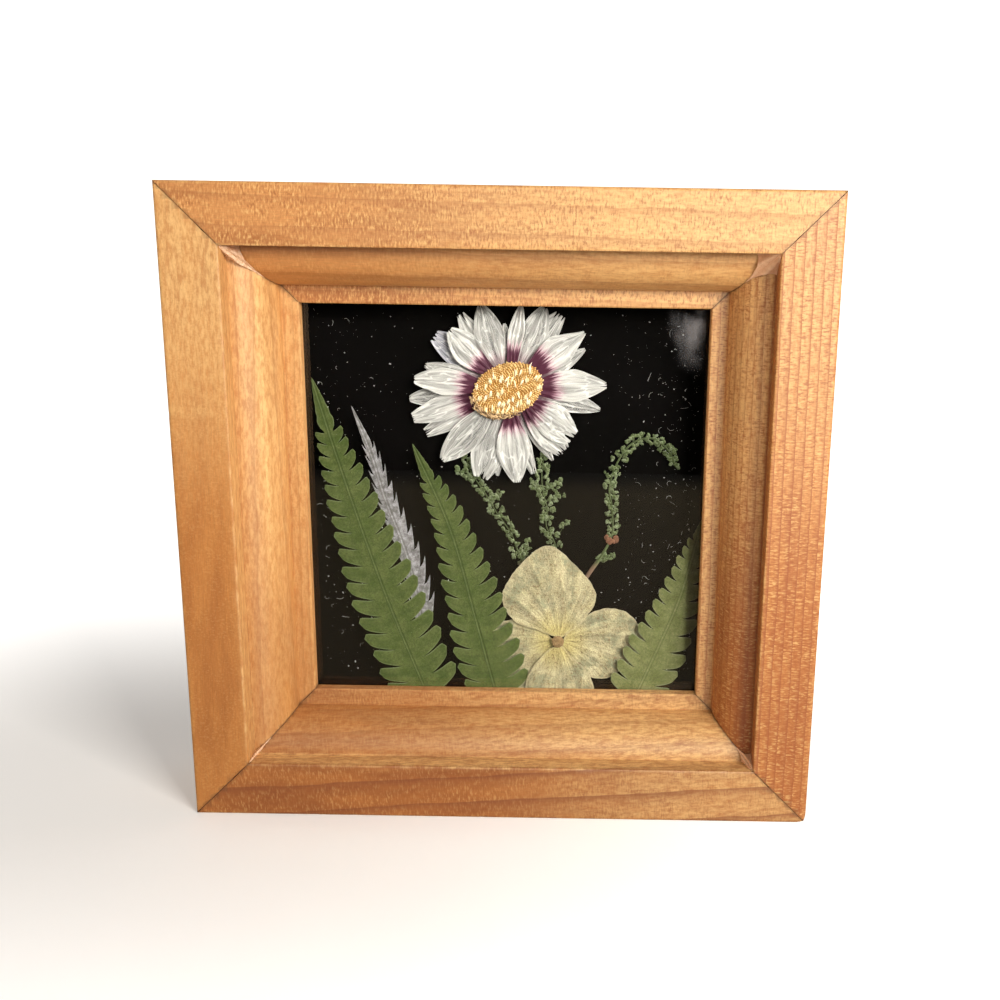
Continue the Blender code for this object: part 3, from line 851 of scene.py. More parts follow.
@dataclass
class WoodenFrame:
    """Four mitred rails of one stepped moulding, with the glue and filler in their corners."""

    band: float = 12.65
    step: float = 5.2
    ovolo_width: float = 8.25
    ovolo_drop: float = 10.0
    lip_width: float = 3.85
    lip_thickness: float = 2.6
    rabbet: float = 18.8
    depth: float = 28.5
    outer_round: float = 0.8
    eased_edge: float = 0.28
    mitre_gap: float = 0.07
    segment: float = 0.95
    dents: int = 16

    @property
    def lip_depth(self) -> float:
        """How far behind the front the lip's face is."""
        return self.step + self.ovolo_drop

    @property
    def sight(self) -> float:
        """How far inwards from the outer side the opening begins."""
        return self.band + self.ovolo_width + self.lip_width

    def profile(self) -> list[Point]:
        """The rail's section, as (inwards, depth) points from the outer front edge round."""
        points: list[Point] = []
        for i in range(7):
            turn = i / 6 * QUARTER
            points.append(
                (self.outer_round * (1 - cos(turn)), self.outer_round * (1 - sin(turn)))
            )
        points += [(share * self.band, 0.0) for share in (0.12, 0.26, 0.42, 0.58, 0.74, 0.88)]
        points += [(self.band - 2 * self.eased_edge, 0.0), (self.band - self.eased_edge, 0.02)]
        points += [(self.band - 0.3 * self.eased_edge, self.eased_edge * 0.35)]
        points += [(self.band, self.eased_edge)]
        points += [(self.band, share * self.step) for share in (0.2, 0.5, 0.8)]
        for i in range(25):
            turn = i / 24 * QUARTER
            inwards = self.band + self.ovolo_width * sin(turn)
            points.append((inwards, self.lip_depth - self.ovolo_drop * cos(turn)))
        lip = self.band + self.ovolo_width
        points += [(lip + share * self.lip_width, self.lip_depth) for share in (0.3, 0.6, 0.85)]
        points += [(self.sight - self.eased_edge, self.lip_depth + 0.02)]
        points += [(self.sight, self.lip_depth + self.eased_edge)]
        points += [(self.sight, self.lip_depth + self.lip_thickness)]
        points += [(self.rabbet, self.lip_depth + self.lip_thickness)]
        points += [(self.rabbet, self.depth), (self.outer_round, self.depth)]
        points += [(0.25 * self.outer_round, self.depth - 0.25 * self.outer_round)]
        points += [(0.0, self.depth - self.outer_round)]
        points += [(0.0, share * self.depth) for share in (0.7, 0.4, 0.15)]
        return points

    def surface(self, inwards: float) -> float:
        """Depth of the moulding's face, this far inwards from the outer side."""
        if inwards < self.band:
            return 0.0
        if inwards > self.band + self.ovolo_width:
            return self.lip_depth
        run = (inwards - self.band) / self.ovolo_width
        return self.lip_depth - self.ovolo_drop * sqrt(1 - run * run)

    def bottom_rail(self) -> Piece:
        """Draws the section, extrudes it along the bottom and cuts both mitres."""
        select_only()
        outline = self.profile()
        places = [
            picture_point(-HALF_SIDE, inwards - HALF_SIDE, depth) for inwards, depth in outline
        ]
        bpy.ops.mesh.primitive_plane_add(size=MM, location=places[0])
        rail = bpy.context.object
        settle(rail)
        with editing(rail):
            bpy.ops.mesh.merge(type="CENTER")
            for here, there in zip(places, places[1:]):
                bpy.ops.mesh.extrude_region_move(TRANSFORM_OT_translate={"value": there - here})
            bpy.ops.mesh.select_all(action="SELECT")
            bpy.ops.mesh.edge_face_add()
            count = round(2 * HALF_SIDE / self.segment)
            step = (2 * HALF_SIDE * MM / count, 0.0, 0.0)
            for _ in range(count):
                bpy.ops.mesh.extrude_region_move(TRANSFORM_OT_translate={"value": step})
            for sign in (-1, 1):
                corner = picture_point(sign * (HALF_SIDE - self.mitre_gap), -HALF_SIDE, 0.0)
                bpy.ops.mesh.select_all(action="SELECT")
                bpy.ops.mesh.bisect(
                    plane_co=corner, plane_no=(sign, 0.0, 1.0), clear_outer=True, use_fill=True
                )
        close_surface(rail)
        return rail

    def wear(self, rail: Piece, side: Side) -> None:
        """Gives one rail the small waves and dents of a handled frame, and marks its worn edges, its
        painted light and its painted shade.
        """
        draw = Random(40 + side.value)
        arris = {"outer": self.outer_round * 0.3, "step": self.band - 0.3 * self.eased_edge}
        dents = []
        for _ in range(self.dents):
            inwards = arris[draw.choice(("outer", "step", "step"))]
            at, radius = draw.uniform(-52, 52), draw.uniform(0.5, 1.1)
            dents.append((at, inwards, radius, draw.uniform(0.08, 0.26)))
        wear_and_painted_light, joint_dark_and_painted_shade, flat, figure = [], [], [], []
        for vertex in rail.data.vertices:
            spot = (vertex.co - picture_point(0, 0, 0)) / MM
            along, out = turned_back((spot.x, spot.z), side)
            inwards, depth = out + HALF_SIDE, spot.y
            sway = waver(along * 0.05, inwards * 0.2, side.value * 9.0) * 0.05
            push = Vector((0.0, 0.0, 0.0))
            if depth < self.lip_depth + 1 and inwards > 0.9:
                push.y += sway
            for at, rim, radius, sink in dents:
                near = hypot(along - at, inwards - rim, depth - 0.1) / radius
                if near < 1:
                    push += Vector((0.0, sink * (1 - near * near), 0.0))
            corner = HALF_SIDE - abs(along)
            rounding = bell(hypot(corner, inwards), 1.1)
            lift = Vector((-0.35 * rounding * (1 if along > 0 else -1), 0.35 * rounding))
            if side in (Side.BOTTOM, Side.RIGHT) and (along > 0) == (side is Side.BOTTOM):
                turned = turned_forward((lift.x, lift.y), side)
                push += Vector((turned[0], 0.0, turned[1]))
            vertex.co += push * MM
            step_rub = bell(inwards - self.band + 0.1, 0.35) if depth < 0.6 else 0.0
            lip_rub = bell(inwards - self.sight, 0.3) if depth < self.lip_depth + 0.6 else 0.0
            outer_rub = bell(inwards, 0.5) if depth < 1.2 else 0.0
            breaks = 0.55 + 0.9 * waver(along * 0.35, inwards, side.value * 3.0)
            on_band, on_lip = depth < 0.3, depth > self.lip_depth - 0.15
            on_wall = inwards < self.band + 0.45 and not on_band
            # Painted light: paler towards the upper right and on faces turned to the light, on top
            # of the real rubbing of the arrises.
            painted_light_share = self.painted_light_share(side, spot.x, spot.z, inwards, on_band, on_wall)
            wear_and_painted_light.append(max(0.0, painted_light_share, max(step_rub, lip_rub, outer_rub) * breaks))
            flat.append(1.0 if on_band or on_lip else FIGURE[side][2])
            figure.append(FIGURE[side][0 if on_band else 1])
            # Painted shade in the recess at the step's foot, mostly on the top and right rails, in
            # the crease at the ovolo's foot, and towards the bottom, beside the dark mitre joints.
            recess_shade = bell(inwards - self.band, 0.5) * ease(1.5, 5.2, depth)
            recess_shade *= 0.5 if side in (Side.TOP, Side.RIGHT) else 0.05
            ovolo_foot_shade = bell(inwards - self.band - self.ovolo_width, 0.35)
            ovolo_foot_shade *= 0.14 if side is Side.TOP else 0.04
            joint = bell(corner - inwards, 0.16) * 0.7
            low = 0.22 * ease(20.0, -60.0, spot.z)
            joint_dark_and_painted_shade.append(min(1.0, recess_shade + ovolo_foot_shade + joint + low))
        paint_marks(rail, {"wear_and_painted_light": wear_and_painted_light, "joint_dark_and_painted_shade": joint_dark_and_painted_shade, "flat": flat, "figure": figure})

    def painted_light_share(
        self, side: Side, across: float, up: float, inwards: float, on_band: bool, on_wall: bool
    ) -> float:
        """How much painted light pales the face here, from 0 to 1: more towards the upper right, and
        on step walls turned to the light.
            up: Where on the picture.
            inwards: How far from the rail's outer side.
            on_band: True on the flat front.
            on_wall: True on the step's wall.
        """
        if side is Side.LEFT and on_band:
            return 0.95 * ease(-8.0, 52.0, up) + 0.18 * bell(up - 23.0, 1.2)
        if side is Side.LEFT:
            stripe = bell(inwards - self.band - 5.4, 0.45) * ease(-30.0, 10.0, up)
            return 0.9 if on_wall else 0.5 + 0.4 * ease(-40.0, 30.0, up) + 0.5 * stripe
        if side is Side.RIGHT and inwards > self.band + self.ovolo_width:
            return 1.0
        if side is Side.RIGHT and on_band:
            return 0.85 * ease(-25.0, 55.0, up)
        if side is Side.RIGHT:
            return 0.0 if on_wall else ease(-45.0, 30.0, up)
        if side is Side.TOP:
            return (1.1 if on_band else 1.0) * ease(-50.0, 35.0, across)
        if on_band:
            return 0.8 * ease(-10.0, 45.0, across)
        return 1.2 if on_wall else 0.35 + 0.8 * ease(-35.0, 35.0, across)

    def corner_fill(
        self, name: str, corner: Point, web: float, run: float, material: Material
    ) -> Piece:
        """A web of filler or glue in an inner corner of the step.

        Args:
            name: The piece's name.
            corner: Signs of the corner's across and up.
            web: How far the web reaches along each rail from the corner, in millimetres.
            run: How far it runs down the mitre.
            material: Its finish.

        Returns:
            The web.
        """
        reach = HALF_SIDE - self.band

        def rule(first: float, second: float) -> Triple:
            down = first**1.2 * run
            wide = web * (1 - first) ** 1.4 * (second * 2 - 1)
            across = reach - down - max(0.0, wide) * 0.95
            up = reach - down - max(0.0, -wide) * 0.95
            inwards = HALF_SIDE - max(across, up)
            base = self.surface(inwards + 0.02)
            top = 0.5 + 4.7 * ease(0.0, 1.0, abs(wide) / max(web, 0.01) + down / run * 0.9)
            rise = 0.05 + 0.3 * sin(pi * first) * (1 - (second * 2 - 1) ** 2)
            ripple = 0.05 * waver(first * 9, second * 7, reach)
            depth = min(base - rise, max(top, base - 4.6 * (1 - first) ** 2)) - ripple
            return corner[0] * across, corner[1] * up, depth

        made = sheet(name, 16, 12, rule)
        thicken(made, 0.16)
        smooth(made, 50)
        dress(made, material)
        return made

    def build(self) -> list[Piece]:
        """Makes the rails and the corner fills.

        Returns:
            The pieces.
        """
        group = wood_group()
        first = self.bottom_rail()
        rails = {Side.BOTTOM: first}
        for side in (Side.RIGHT, Side.TOP, Side.LEFT):
            select_only(first)
            bpy.ops.object.duplicate()
            rails[side] = bpy.context.object
        spin = picture_point(0, 0, 0)
        pieces = []
        for side, rail in rails.items():
            rail.name = f"{side.label}_rail"
            turn = Matrix.Rotation(-side.value * pi / 2, 4, "Y")
            rail.matrix_world = Matrix.Translation(spin) @ turn @ Matrix.Translation(-spin)
            settle(rail)
            self.wear(rail, side)
            smooth(rail, 38)
            dress(rail, WOODS[side].material(side, group))
            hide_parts(f"rail_{side.label}")
            pieces.append(rail)
        filler, glue = FILLER.material(), GLUE.material()
        fills = [
            self.corner_fill("filler_top_right", (1, 1), 4.6, 6.0, filler),
            self.corner_fill("filler_bottom_right", (1, -1), 2.2, 3.2, filler),
            self.corner_fill("glue_top_left", (-1, 1), 2.9, 6.6, glue),
            self.corner_fill("glue_bottom_left", (-1, -1), 0.9, 3.6, glue),
        ]
        return pieces + fills


def turned_forward(point: Point, side: Side) -> Point:
    """A point of the bottom rail, turned to this side."""
    across, up = point
    for _ in range(side.value):
        across, up = -up, across
    return across, up


def turned_back(point: Point, side: Side) -> Point:
    """A point of this side, turned to the bottom rail."""
    across, up = point
    for _ in range(side.value):
        across, up = up, -across
    return across, up


# ---- Glass, card, backing board and what holds them --------------


@dataclass
class GlazedStack:
    """The pane, the black card with its dust, the backing board and the steel points."""

    card_depth: float = 23.22
    specks: int = 900
    fibres: int = 84
    reach: float = 44.0

    def dress_parts(self) -> None:
        """Gives the carried-over flat parts their finishes."""
        pane = redress("glass_pane", pane_material())
        pane.visible_shadow = False
        redress("mount_card", CARD.material())
        redress("backing_board", BOARD.material())
        steel = STEEL.material()
        for side in Side:
            for number in (1, 2):
                redress(f"point_{side.label}_{number}", steel)

    def dust(self) -> Piece:
        """Pale specks that lie on the card, thickest along its right and left edges."""
        draw = Random(7)
        places = []
        for _ in range(self.specks):
            if draw.random() < 0.55:
                across = self.reach * (1 - 0.42 * draw.random() ** 1.5)
                across *= -1 if draw.random() < 0.35 else 1
            else:
                across = draw.uniform(-self.reach, self.reach)
            up = draw.uniform(-self.reach, self.reach)
            size = 0.03 + 0.13 * draw.random() ** 5
            long = size * draw.uniform(1.0, 2.2)
            matrix = placed(across, up, self.card_depth, draw.uniform(0, pi), (long, 0.03, size))
            places.append((matrix, draw.random()))
        return scattered("card_dust", ball(), places)

    def lint(self) -> Piece:
        """Short curled fibres on the card."""
        draw = Random(19)
        strands = []
        for number in range(self.fibres):
            across = draw.choice((-1, 1, 1)) * (self.reach - 14 * draw.random() ** 1.3)
            up = draw.uniform(-self.reach + 4, self.reach - 2)
            angle, bend = draw.uniform(0, tau), draw.uniform(-1.3, 1.3)
            length = draw.uniform(0.6, 2.3)
            points = [(across, up)]
            for _ in range(3):
                last = points[-1]
                points.append(
                    (last[0] + cos(angle) * length / 3, last[1] + sin(angle) * length / 3)
                )
                angle += bend
            wide = draw.uniform(0.014, 0.034)
            route = Route(points, 0.3)
            strands.append(stalk(f"strand_{number}", route, self.card_depth, lambda _: wide, 4))
        return joined("card_lint", strands)

    def haze(self) -> Piece:
        """A faint smear on the glass at the opening's top right corner."""

        def rule(first: float, second: float) -> Triple:
            return 27.0 + 17.5 * first, 29.0 + 15.8 * second, 18.02

        made = sheet("glass_smear", 8, 8, rule)
        thicken(made, 0.02)
        material, wiring, shader = new_material("glass smear")
        set_plain(shader, Base_Color=(0.92, 0.92, 0.96, 1.0), Roughness=0.9)
        place = wiring.object_place(picture_point(43.0, 43.0, 18.0))
        cloud = wiring.streaks(place, (0.2, 0.2, 0.16), 3.0, 0.5)
        spread = wiring.length(wiring.stretched(place, (0.12, 0.0, 0.075)))
        near = wiring.ramp(spread, 0.1, 1.0, 1.0, 0.0)
        share = wiring.times(wiring.ramp(cloud, 0.36, 0.76, 0.0, 0.12), near)
        wiring.feed(shader.inputs["Alpha"], share)
        dress(made, material)
        return made

    def build(self) -> list[Piece]:
        """Dresses the flat parts and adds what lies on them.

        Returns:
            The added pieces.
        """
        self.dress_parts()
        dust, lint, haze = self.dust(), self.lint(), self.haze()
        pale = DUST.material()
        for piece in (dust, lint):
            dress(piece, pale)
        return [dust, lint, haze]


# ---- Ferns and the grey leaf -------------------------------------


class LobeEnd(Enum):
    """How a lobe ends: the share of its length where it starts to close, and the power of that."""

    ROUND = (0.6, 2.7)
    SHARP = (0.15, 1.15)


@dataclass(frozen=True)
class LobeRow:
    """The lobes on one side of a frond."""

    base: float
    widest: float
    peak: float
    count: int
    taper: float = 0.45

    def reach(self, share: float) -> float:
        """How far the lobes reach from the midrib, at a share of the frond's length."""
        if share < self.peak:
            return self.base + (self.widest - self.base) * share / self.peak
        run = min(1.0, (share - self.peak) / (1 - self.peak))
        return self.widest * (1 - run**1.25) ** 0.8

    def starts(self, lobed: float) -> list[float]:
        """Where each lobe starts, as shares of the length, closing up towards the tip."""
        pitches = [1 - self.taper * (i / self.count) ** 3 for i in range(self.count)]
        total = sum(pitches)
        return [sum(pitches[:i]) / total * lobed for i in range(self.count + 1)]


@dataclass(frozen=True)
class FrondFinish:
    """A pressed frond's colours: its blade, its faded parts, its margin and its midrib."""

    name: str
    fresh: Colour
    faded: Colour
    margin: Colour
    rib: Colour
    blotch_scale: float
    grain: float

    def material(self, group: Tree) -> Material:
        """Makes the material around the shared dried plant group."""
        material, wiring, shader = new_material(self.name)
        dried = wiring.group(
            group,
            Place=wiring.object_place(),
            Fresh=(*self.fresh, 1.0),
            Faded=(*self.faded, 1.0),
            Blotch_Scale=self.blotch_scale,
            Grain=self.grain,
        )
        rib = wiring.attribute("rib")
        off_groove = wiring.math("ABSOLUTE", wiring.math("SUBTRACT", rib, 0.34))
        groove = wiring.ramp(off_groove, 0.0, 0.2, 1.0, 0.0)
        colour = wiring.mix(wiring.times(groove, 0.75), dried.outputs["Color"], self.rib)
        crest = wiring.ramp(rib, 0.0, 0.22, 0.18, 0.0)
        colour = wiring.mix(crest, colour, self.margin)
        vein = wiring.ramp(wiring.attribute("vein"), 0.0, 0.16, 0.22, 0.0)
        colour = wiring.mix(vein, colour, self.rib)
        edge = wiring.ramp(wiring.attribute("margin"), 0.55, 1.0, 0.0, 0.62)
        colour = wiring.mix(edge, colour, self.margin)
        wiring.feed(shader.inputs["Base Color"], colour)
        set_plain(shader, Roughness=0.78, Specular_IOR_Level=0.3)
        bumped(wiring, shader, dried.outputs["Height"], 0.05)
        return material


FERN_GREEN = FrondFinish(
    "pressed fern", (0.053, 0.078, 0.014), (0.086, 0.108, 0.028), (0.17, 0.20, 0.10),
    (0.026, 0.044, 0.008), 0.35, 0.36,
)  # fmt: skip
FERN_PALE = FrondFinish(
    "faded fern", (0.108, 0.124, 0.036), (0.165, 0.172, 0.066), (0.24, 0.26, 0.15),
    (0.070, 0.088, 0.024), 0.35, 0.34,
)  # fmt: skip
SILVER = FrondFinish(
    "silver leaf", (0.135, 0.128, 0.128), (0.33, 0.32, 0.335), (0.42, 0.41, 0.42),
    (0.13, 0.12, 0.105), 0.75, 0.42,
)  # fmt: skip


@dataclass
class Frond:
    """One pressed frond, lobed on both sides of its midrib."""

    node: str
    midrib: Sequence[Point]
    left: LobeRow
    right: LobeRow
    smooth_tip: float
    rib_share: float
    lean: float
    depth: float
    finish: FrondFinish
    end: LobeEnd = LobeEnd.ROUND
    gap: float = 0.27
    thickness: float = 0.12
    fused_rows: int = 6
    free_rows: int = 8
    columns: int = 6

    def __post_init__(self) -> None:
        """Runs the midrib's line."""
        self.route = Route(self.midrib, 1.0)
        self.seed = sum(map(ord, self.node)) % 97

    def relief(self, off_rib: float, vein: float, free: float, spot: Point) -> float:
        """How far the blade stands forwards, in millimetres, at this distance from the midrib."""
        rib = 0.12 * bell(off_rib, 0.6) - 0.13 * bell(off_rib, 0.2)
        groove = -0.05 * bell(vein, 0.12) * ease(0.5, 2.0, off_rib)
        crown = 0.05 * cos(min(1.0, vein * 2) * pi / 2) * free
        wave = 0.06 * waver(spot[0] * 0.35, spot[1] * 0.35, self.seed)
        return rib + groove + crown + wave

    def lobe(self, side: int, row: LobeRow, i: int, starts: Sequence[float]) -> Piece:
        """One lobe, joined to the midrib and to its neighbours near it."""
        start, end = starts[i], starts[i + 1]
        pitch, middle = end - start, (start + end) / 2
        draw = Random(self.seed * 100 + i * 2 + side)
        tip = row.reach(start + pitch * 0.6) * draw.uniform(0.95, 1.04)
        shift = (self.lean - 0.5) * pitch * draw.uniform(0.88, 1.1)
        gap = self.gap * draw.uniform(0.85, 1.15)
        fused = self.fused_rows / (self.fused_rows + self.free_rows)
        closing, power = self.end.value
        marks: Marks = {"rib": [], "vein": [], "margin": []}

        def rule(a: float, b: float) -> Triple:
            along = start + (end - start) * a
            valley = row.reach(along) * self.rib_share
            vein = abs(a - 0.5)
            if b <= fused:
                out, free = valley * (b / fused) ** 1.7, 0.0
            else:
                free = (b - fused) / (1 - fused)
                round_off = max(0.0, (free - closing) / (1 - closing))
                width = (1 - gap * free) * max(0.0, 1 - round_off**power) ** (1 / power)
                along = middle + (along - middle) * width + shift * free**1.5
                out = valley + (tip - valley) * free
            spot = self.route.beside(along, side * out)
            marks["rib"].append(out)
            marks["vein"].append(vein)
            marks["margin"].append(min(1.0, max((2 * vein) ** 4 * min(1.0, free * 6), free**9)))
            return *spot, self.depth - self.relief(out, vein, min(1.0, free * 2), spot)

        made = sheet(f"lobe_{side}_{i}", self.columns, self.fused_rows + self.free_rows, rule)
        paint_marks(made, marks)
        return made

    def tip(self, side: int, row: LobeRow) -> Piece:
        """Half of the frond's tapered tip, past its last lobe."""
        lobed = 1 - self.smooth_tip
        foot = row.reach(lobed)
        marks: Marks = {"rib": [], "vein": [], "margin": []}

        def rule(a: float, b: float) -> Triple:
            along = lobed + (1 - lobed) * a
            swell = self.rib_share + (0.72 - self.rib_share) * ease(0.0, 0.16, a)
            saw = 1 + 0.09 * sin(a * 34) * (1 - a) * ease(0.0, 0.1, a)
            out = foot * swell * (1 - a) ** 0.8 * saw * b**1.7
            spot = self.route.beside(along, side * out)
            marks["rib"].append(out)
            marks["vein"].append(0.5)
            marks["margin"].append(b**9 * ease(0.0, 0.1, a))
            return *spot, self.depth - self.relief(out, 0.5, 0.0, spot)

        made = sheet(f"tip_{side}", 22, self.fused_rows, rule)
        paint_marks(made, marks)
        return made

    def build(self, group: Tree) -> Piece:
        """Makes the frond.

        Args:
            group: The shared dried plant group.

        Returns:
            The piece.
        """
        parts = []
        for side, row in ((-1, self.left), (1, self.right)):
            starts = row.starts(1 - self.smooth_tip)
            parts += [self.lobe(side, row, i, starts) for i in range(row.count)]
            parts.append(self.tip(side, row))
        made = joined(f"{self.node}_blade", parts)
        thicken(made, self.thickness)
        smooth(made, 60)
        dress(made, self.finish.material(group))
        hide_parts(self.node)
        return made


FRONDS = (
    Frond(
        "fern_left", [(-19.3, -48.2), (-28.9, -22.6), (-38.1, 6.6), (-44.3, 28.3)],
        LobeRow(8.7, 8.7, 0.28, 17), LobeRow(9.2, 9.2, 0.24, 16), smooth_tip=0.16,
        rib_share=0.30, lean=1.1, depth=20.62, finish=FERN_GREEN,
    ),
    Frond(
        "fern_middle", [(-2.4, -48.4), (-7.6, -27.9), (-13.2, -6.8), (-21.7, 13.4)],
        LobeRow(7.2, 7.2, 0.18, 14), LobeRow(8.8, 8.8, 0.16, 15), smooth_tip=0.15,
        rib_share=0.34, lean=1.1, depth=20.62, finish=FERN_GREEN,
    ),
    Frond(
        "fern_right", [(31.0, -48.2), (36.2, -35.5), (41.4, -21.5), (45.8, -3.0)],
        LobeRow(7.8, 7.8, 0.2, 13), LobeRow(7.4, 7.4, 0.3, 10), smooth_tip=0.12,
        rib_share=0.38, lean=0.95, depth=20.62, finish=FERN_PALE,
    ),
    Frond(
        "silver_leaf",
        [(-20.4, -29.5), (-23.2, -14.7), (-28.4, 0.4), (-31.4, 10.9), (-35.6, 21.9)],
        LobeRow(2.2, 2.3, 0.45, 11), LobeRow(4.6, 3.7, 0.3, 11), smooth_tip=0.2,
        rib_share=0.50, lean=1.5, depth=21.2, finish=SILVER, end=LobeEnd.SHARP, gap=0.3,
    ),
)  # fmt: skip


# ---- White paper daisy -------------------------------------------


class PetalKind(Enum):
    """How a petal dried: how opaque it is, how blunt and how ragged its end is, and its creases."""

    WHITE = (0.86, 0.04, 0.24, 1.5)
    RAGGED = (0.84, 0.11, 0.42, 1.9)
    CLEAR = (0.50, 0.03, 0.18, 1.4)
    CLEAR_RAGGED = (0.54, 0.09, 0.38, 1.8)
    LILAC = (0.62, 0.08, 0.18, 1.2)
    FOLDED = (0.84, 0.02, 0.14, 2.2)
    SPLIT = (0.74, 0.12, 0.6, 1.9)


@dataclass(frozen=True)
class Petal:
    """One petal: its angle, length, width and layer, the sharpness of its end, and its kind."""

    angle: float
    length: float
    width: float
    layer: int
    sharpness: float
    kind: PetalKind
    blush: float = 1.0


PETALS = (
    Petal(108, 19.8, 5.2, 1, 2.0, PetalKind.CLEAR, 0.35),
    Petal(93, 14.8, 2.6, 2, 1.6, PetalKind.CLEAR, 0.2),
    Petal(81, 19.4, 2.8, 1, 2.0, PetalKind.FOLDED),
    Petal(66, 20.2, 5.0, 2, 2.2, PetalKind.CLEAR, 0.3),
    Petal(55, 20.6, 4.6, 3, 2.0, PetalKind.CLEAR_RAGGED),
    Petal(37, 21.7, 5.6, 1, 1.3, PetalKind.WHITE),
    Petal(28, 19.8, 3.8, 2, 1.6, PetalKind.CLEAR, 0.5),
    Petal(3, 22.5, 6.0, 1, 1.6, PetalKind.WHITE),
    Petal(-12, 21.6, 4.0, 2, 1.7, PetalKind.CLEAR, 0.5),
    Petal(-35, 18.6, 6.4, 1, 2.4, PetalKind.RAGGED, 0.8),
    Petal(-47, 19.2, 6.0, 2, 2.2, PetalKind.RAGGED, 0.9),
    Petal(-58, 19.6, 3.2, 3, 1.6, PetalKind.CLEAR, 0.3),
    Petal(-73, 20.6, 2.8, 2, 1.5, PetalKind.SPLIT, 0.6),
    Petal(-84, 21.8, 6.2, 1, 1.9, PetalKind.WHITE),
    Petal(-97, 20.6, 2.8, 3, 1.8, PetalKind.CLEAR, 0.0),
    Petal(-107, 21.8, 6.4, 2, 2.0, PetalKind.CLEAR_RAGGED, 0.1),
    Petal(-132, 22.6, 5.4, 1, 2.2, PetalKind.CLEAR, 0.0),
    Petal(-151, 21.8, 3.6, 3, 1.8, PetalKind.SPLIT, 1.0),
    Petal(-162, 23.0, 4.4, 2, 1.8, PetalKind.RAGGED),
    Petal(-173, 22.8, 4.0, 3, 2.4, PetalKind.CLEAR, 0.6),
    Petal(175, 21.4, 4.8, 1, 2.2, PetalKind.WHITE),
    Petal(165, 19.6, 3.4, 2, 2.0, PetalKind.CLEAR, 0.4),
    Petal(145, 20.4, 5.2, 3, 2.2, PetalKind.LILAC, 0.8),
    Petal(135, 18.6, 5.6, 1, 1.9, PetalKind.WHITE),
    Petal(123, 19.8, 4.2, 2, 1.5, PetalKind.RAGGED, 0.6),
)


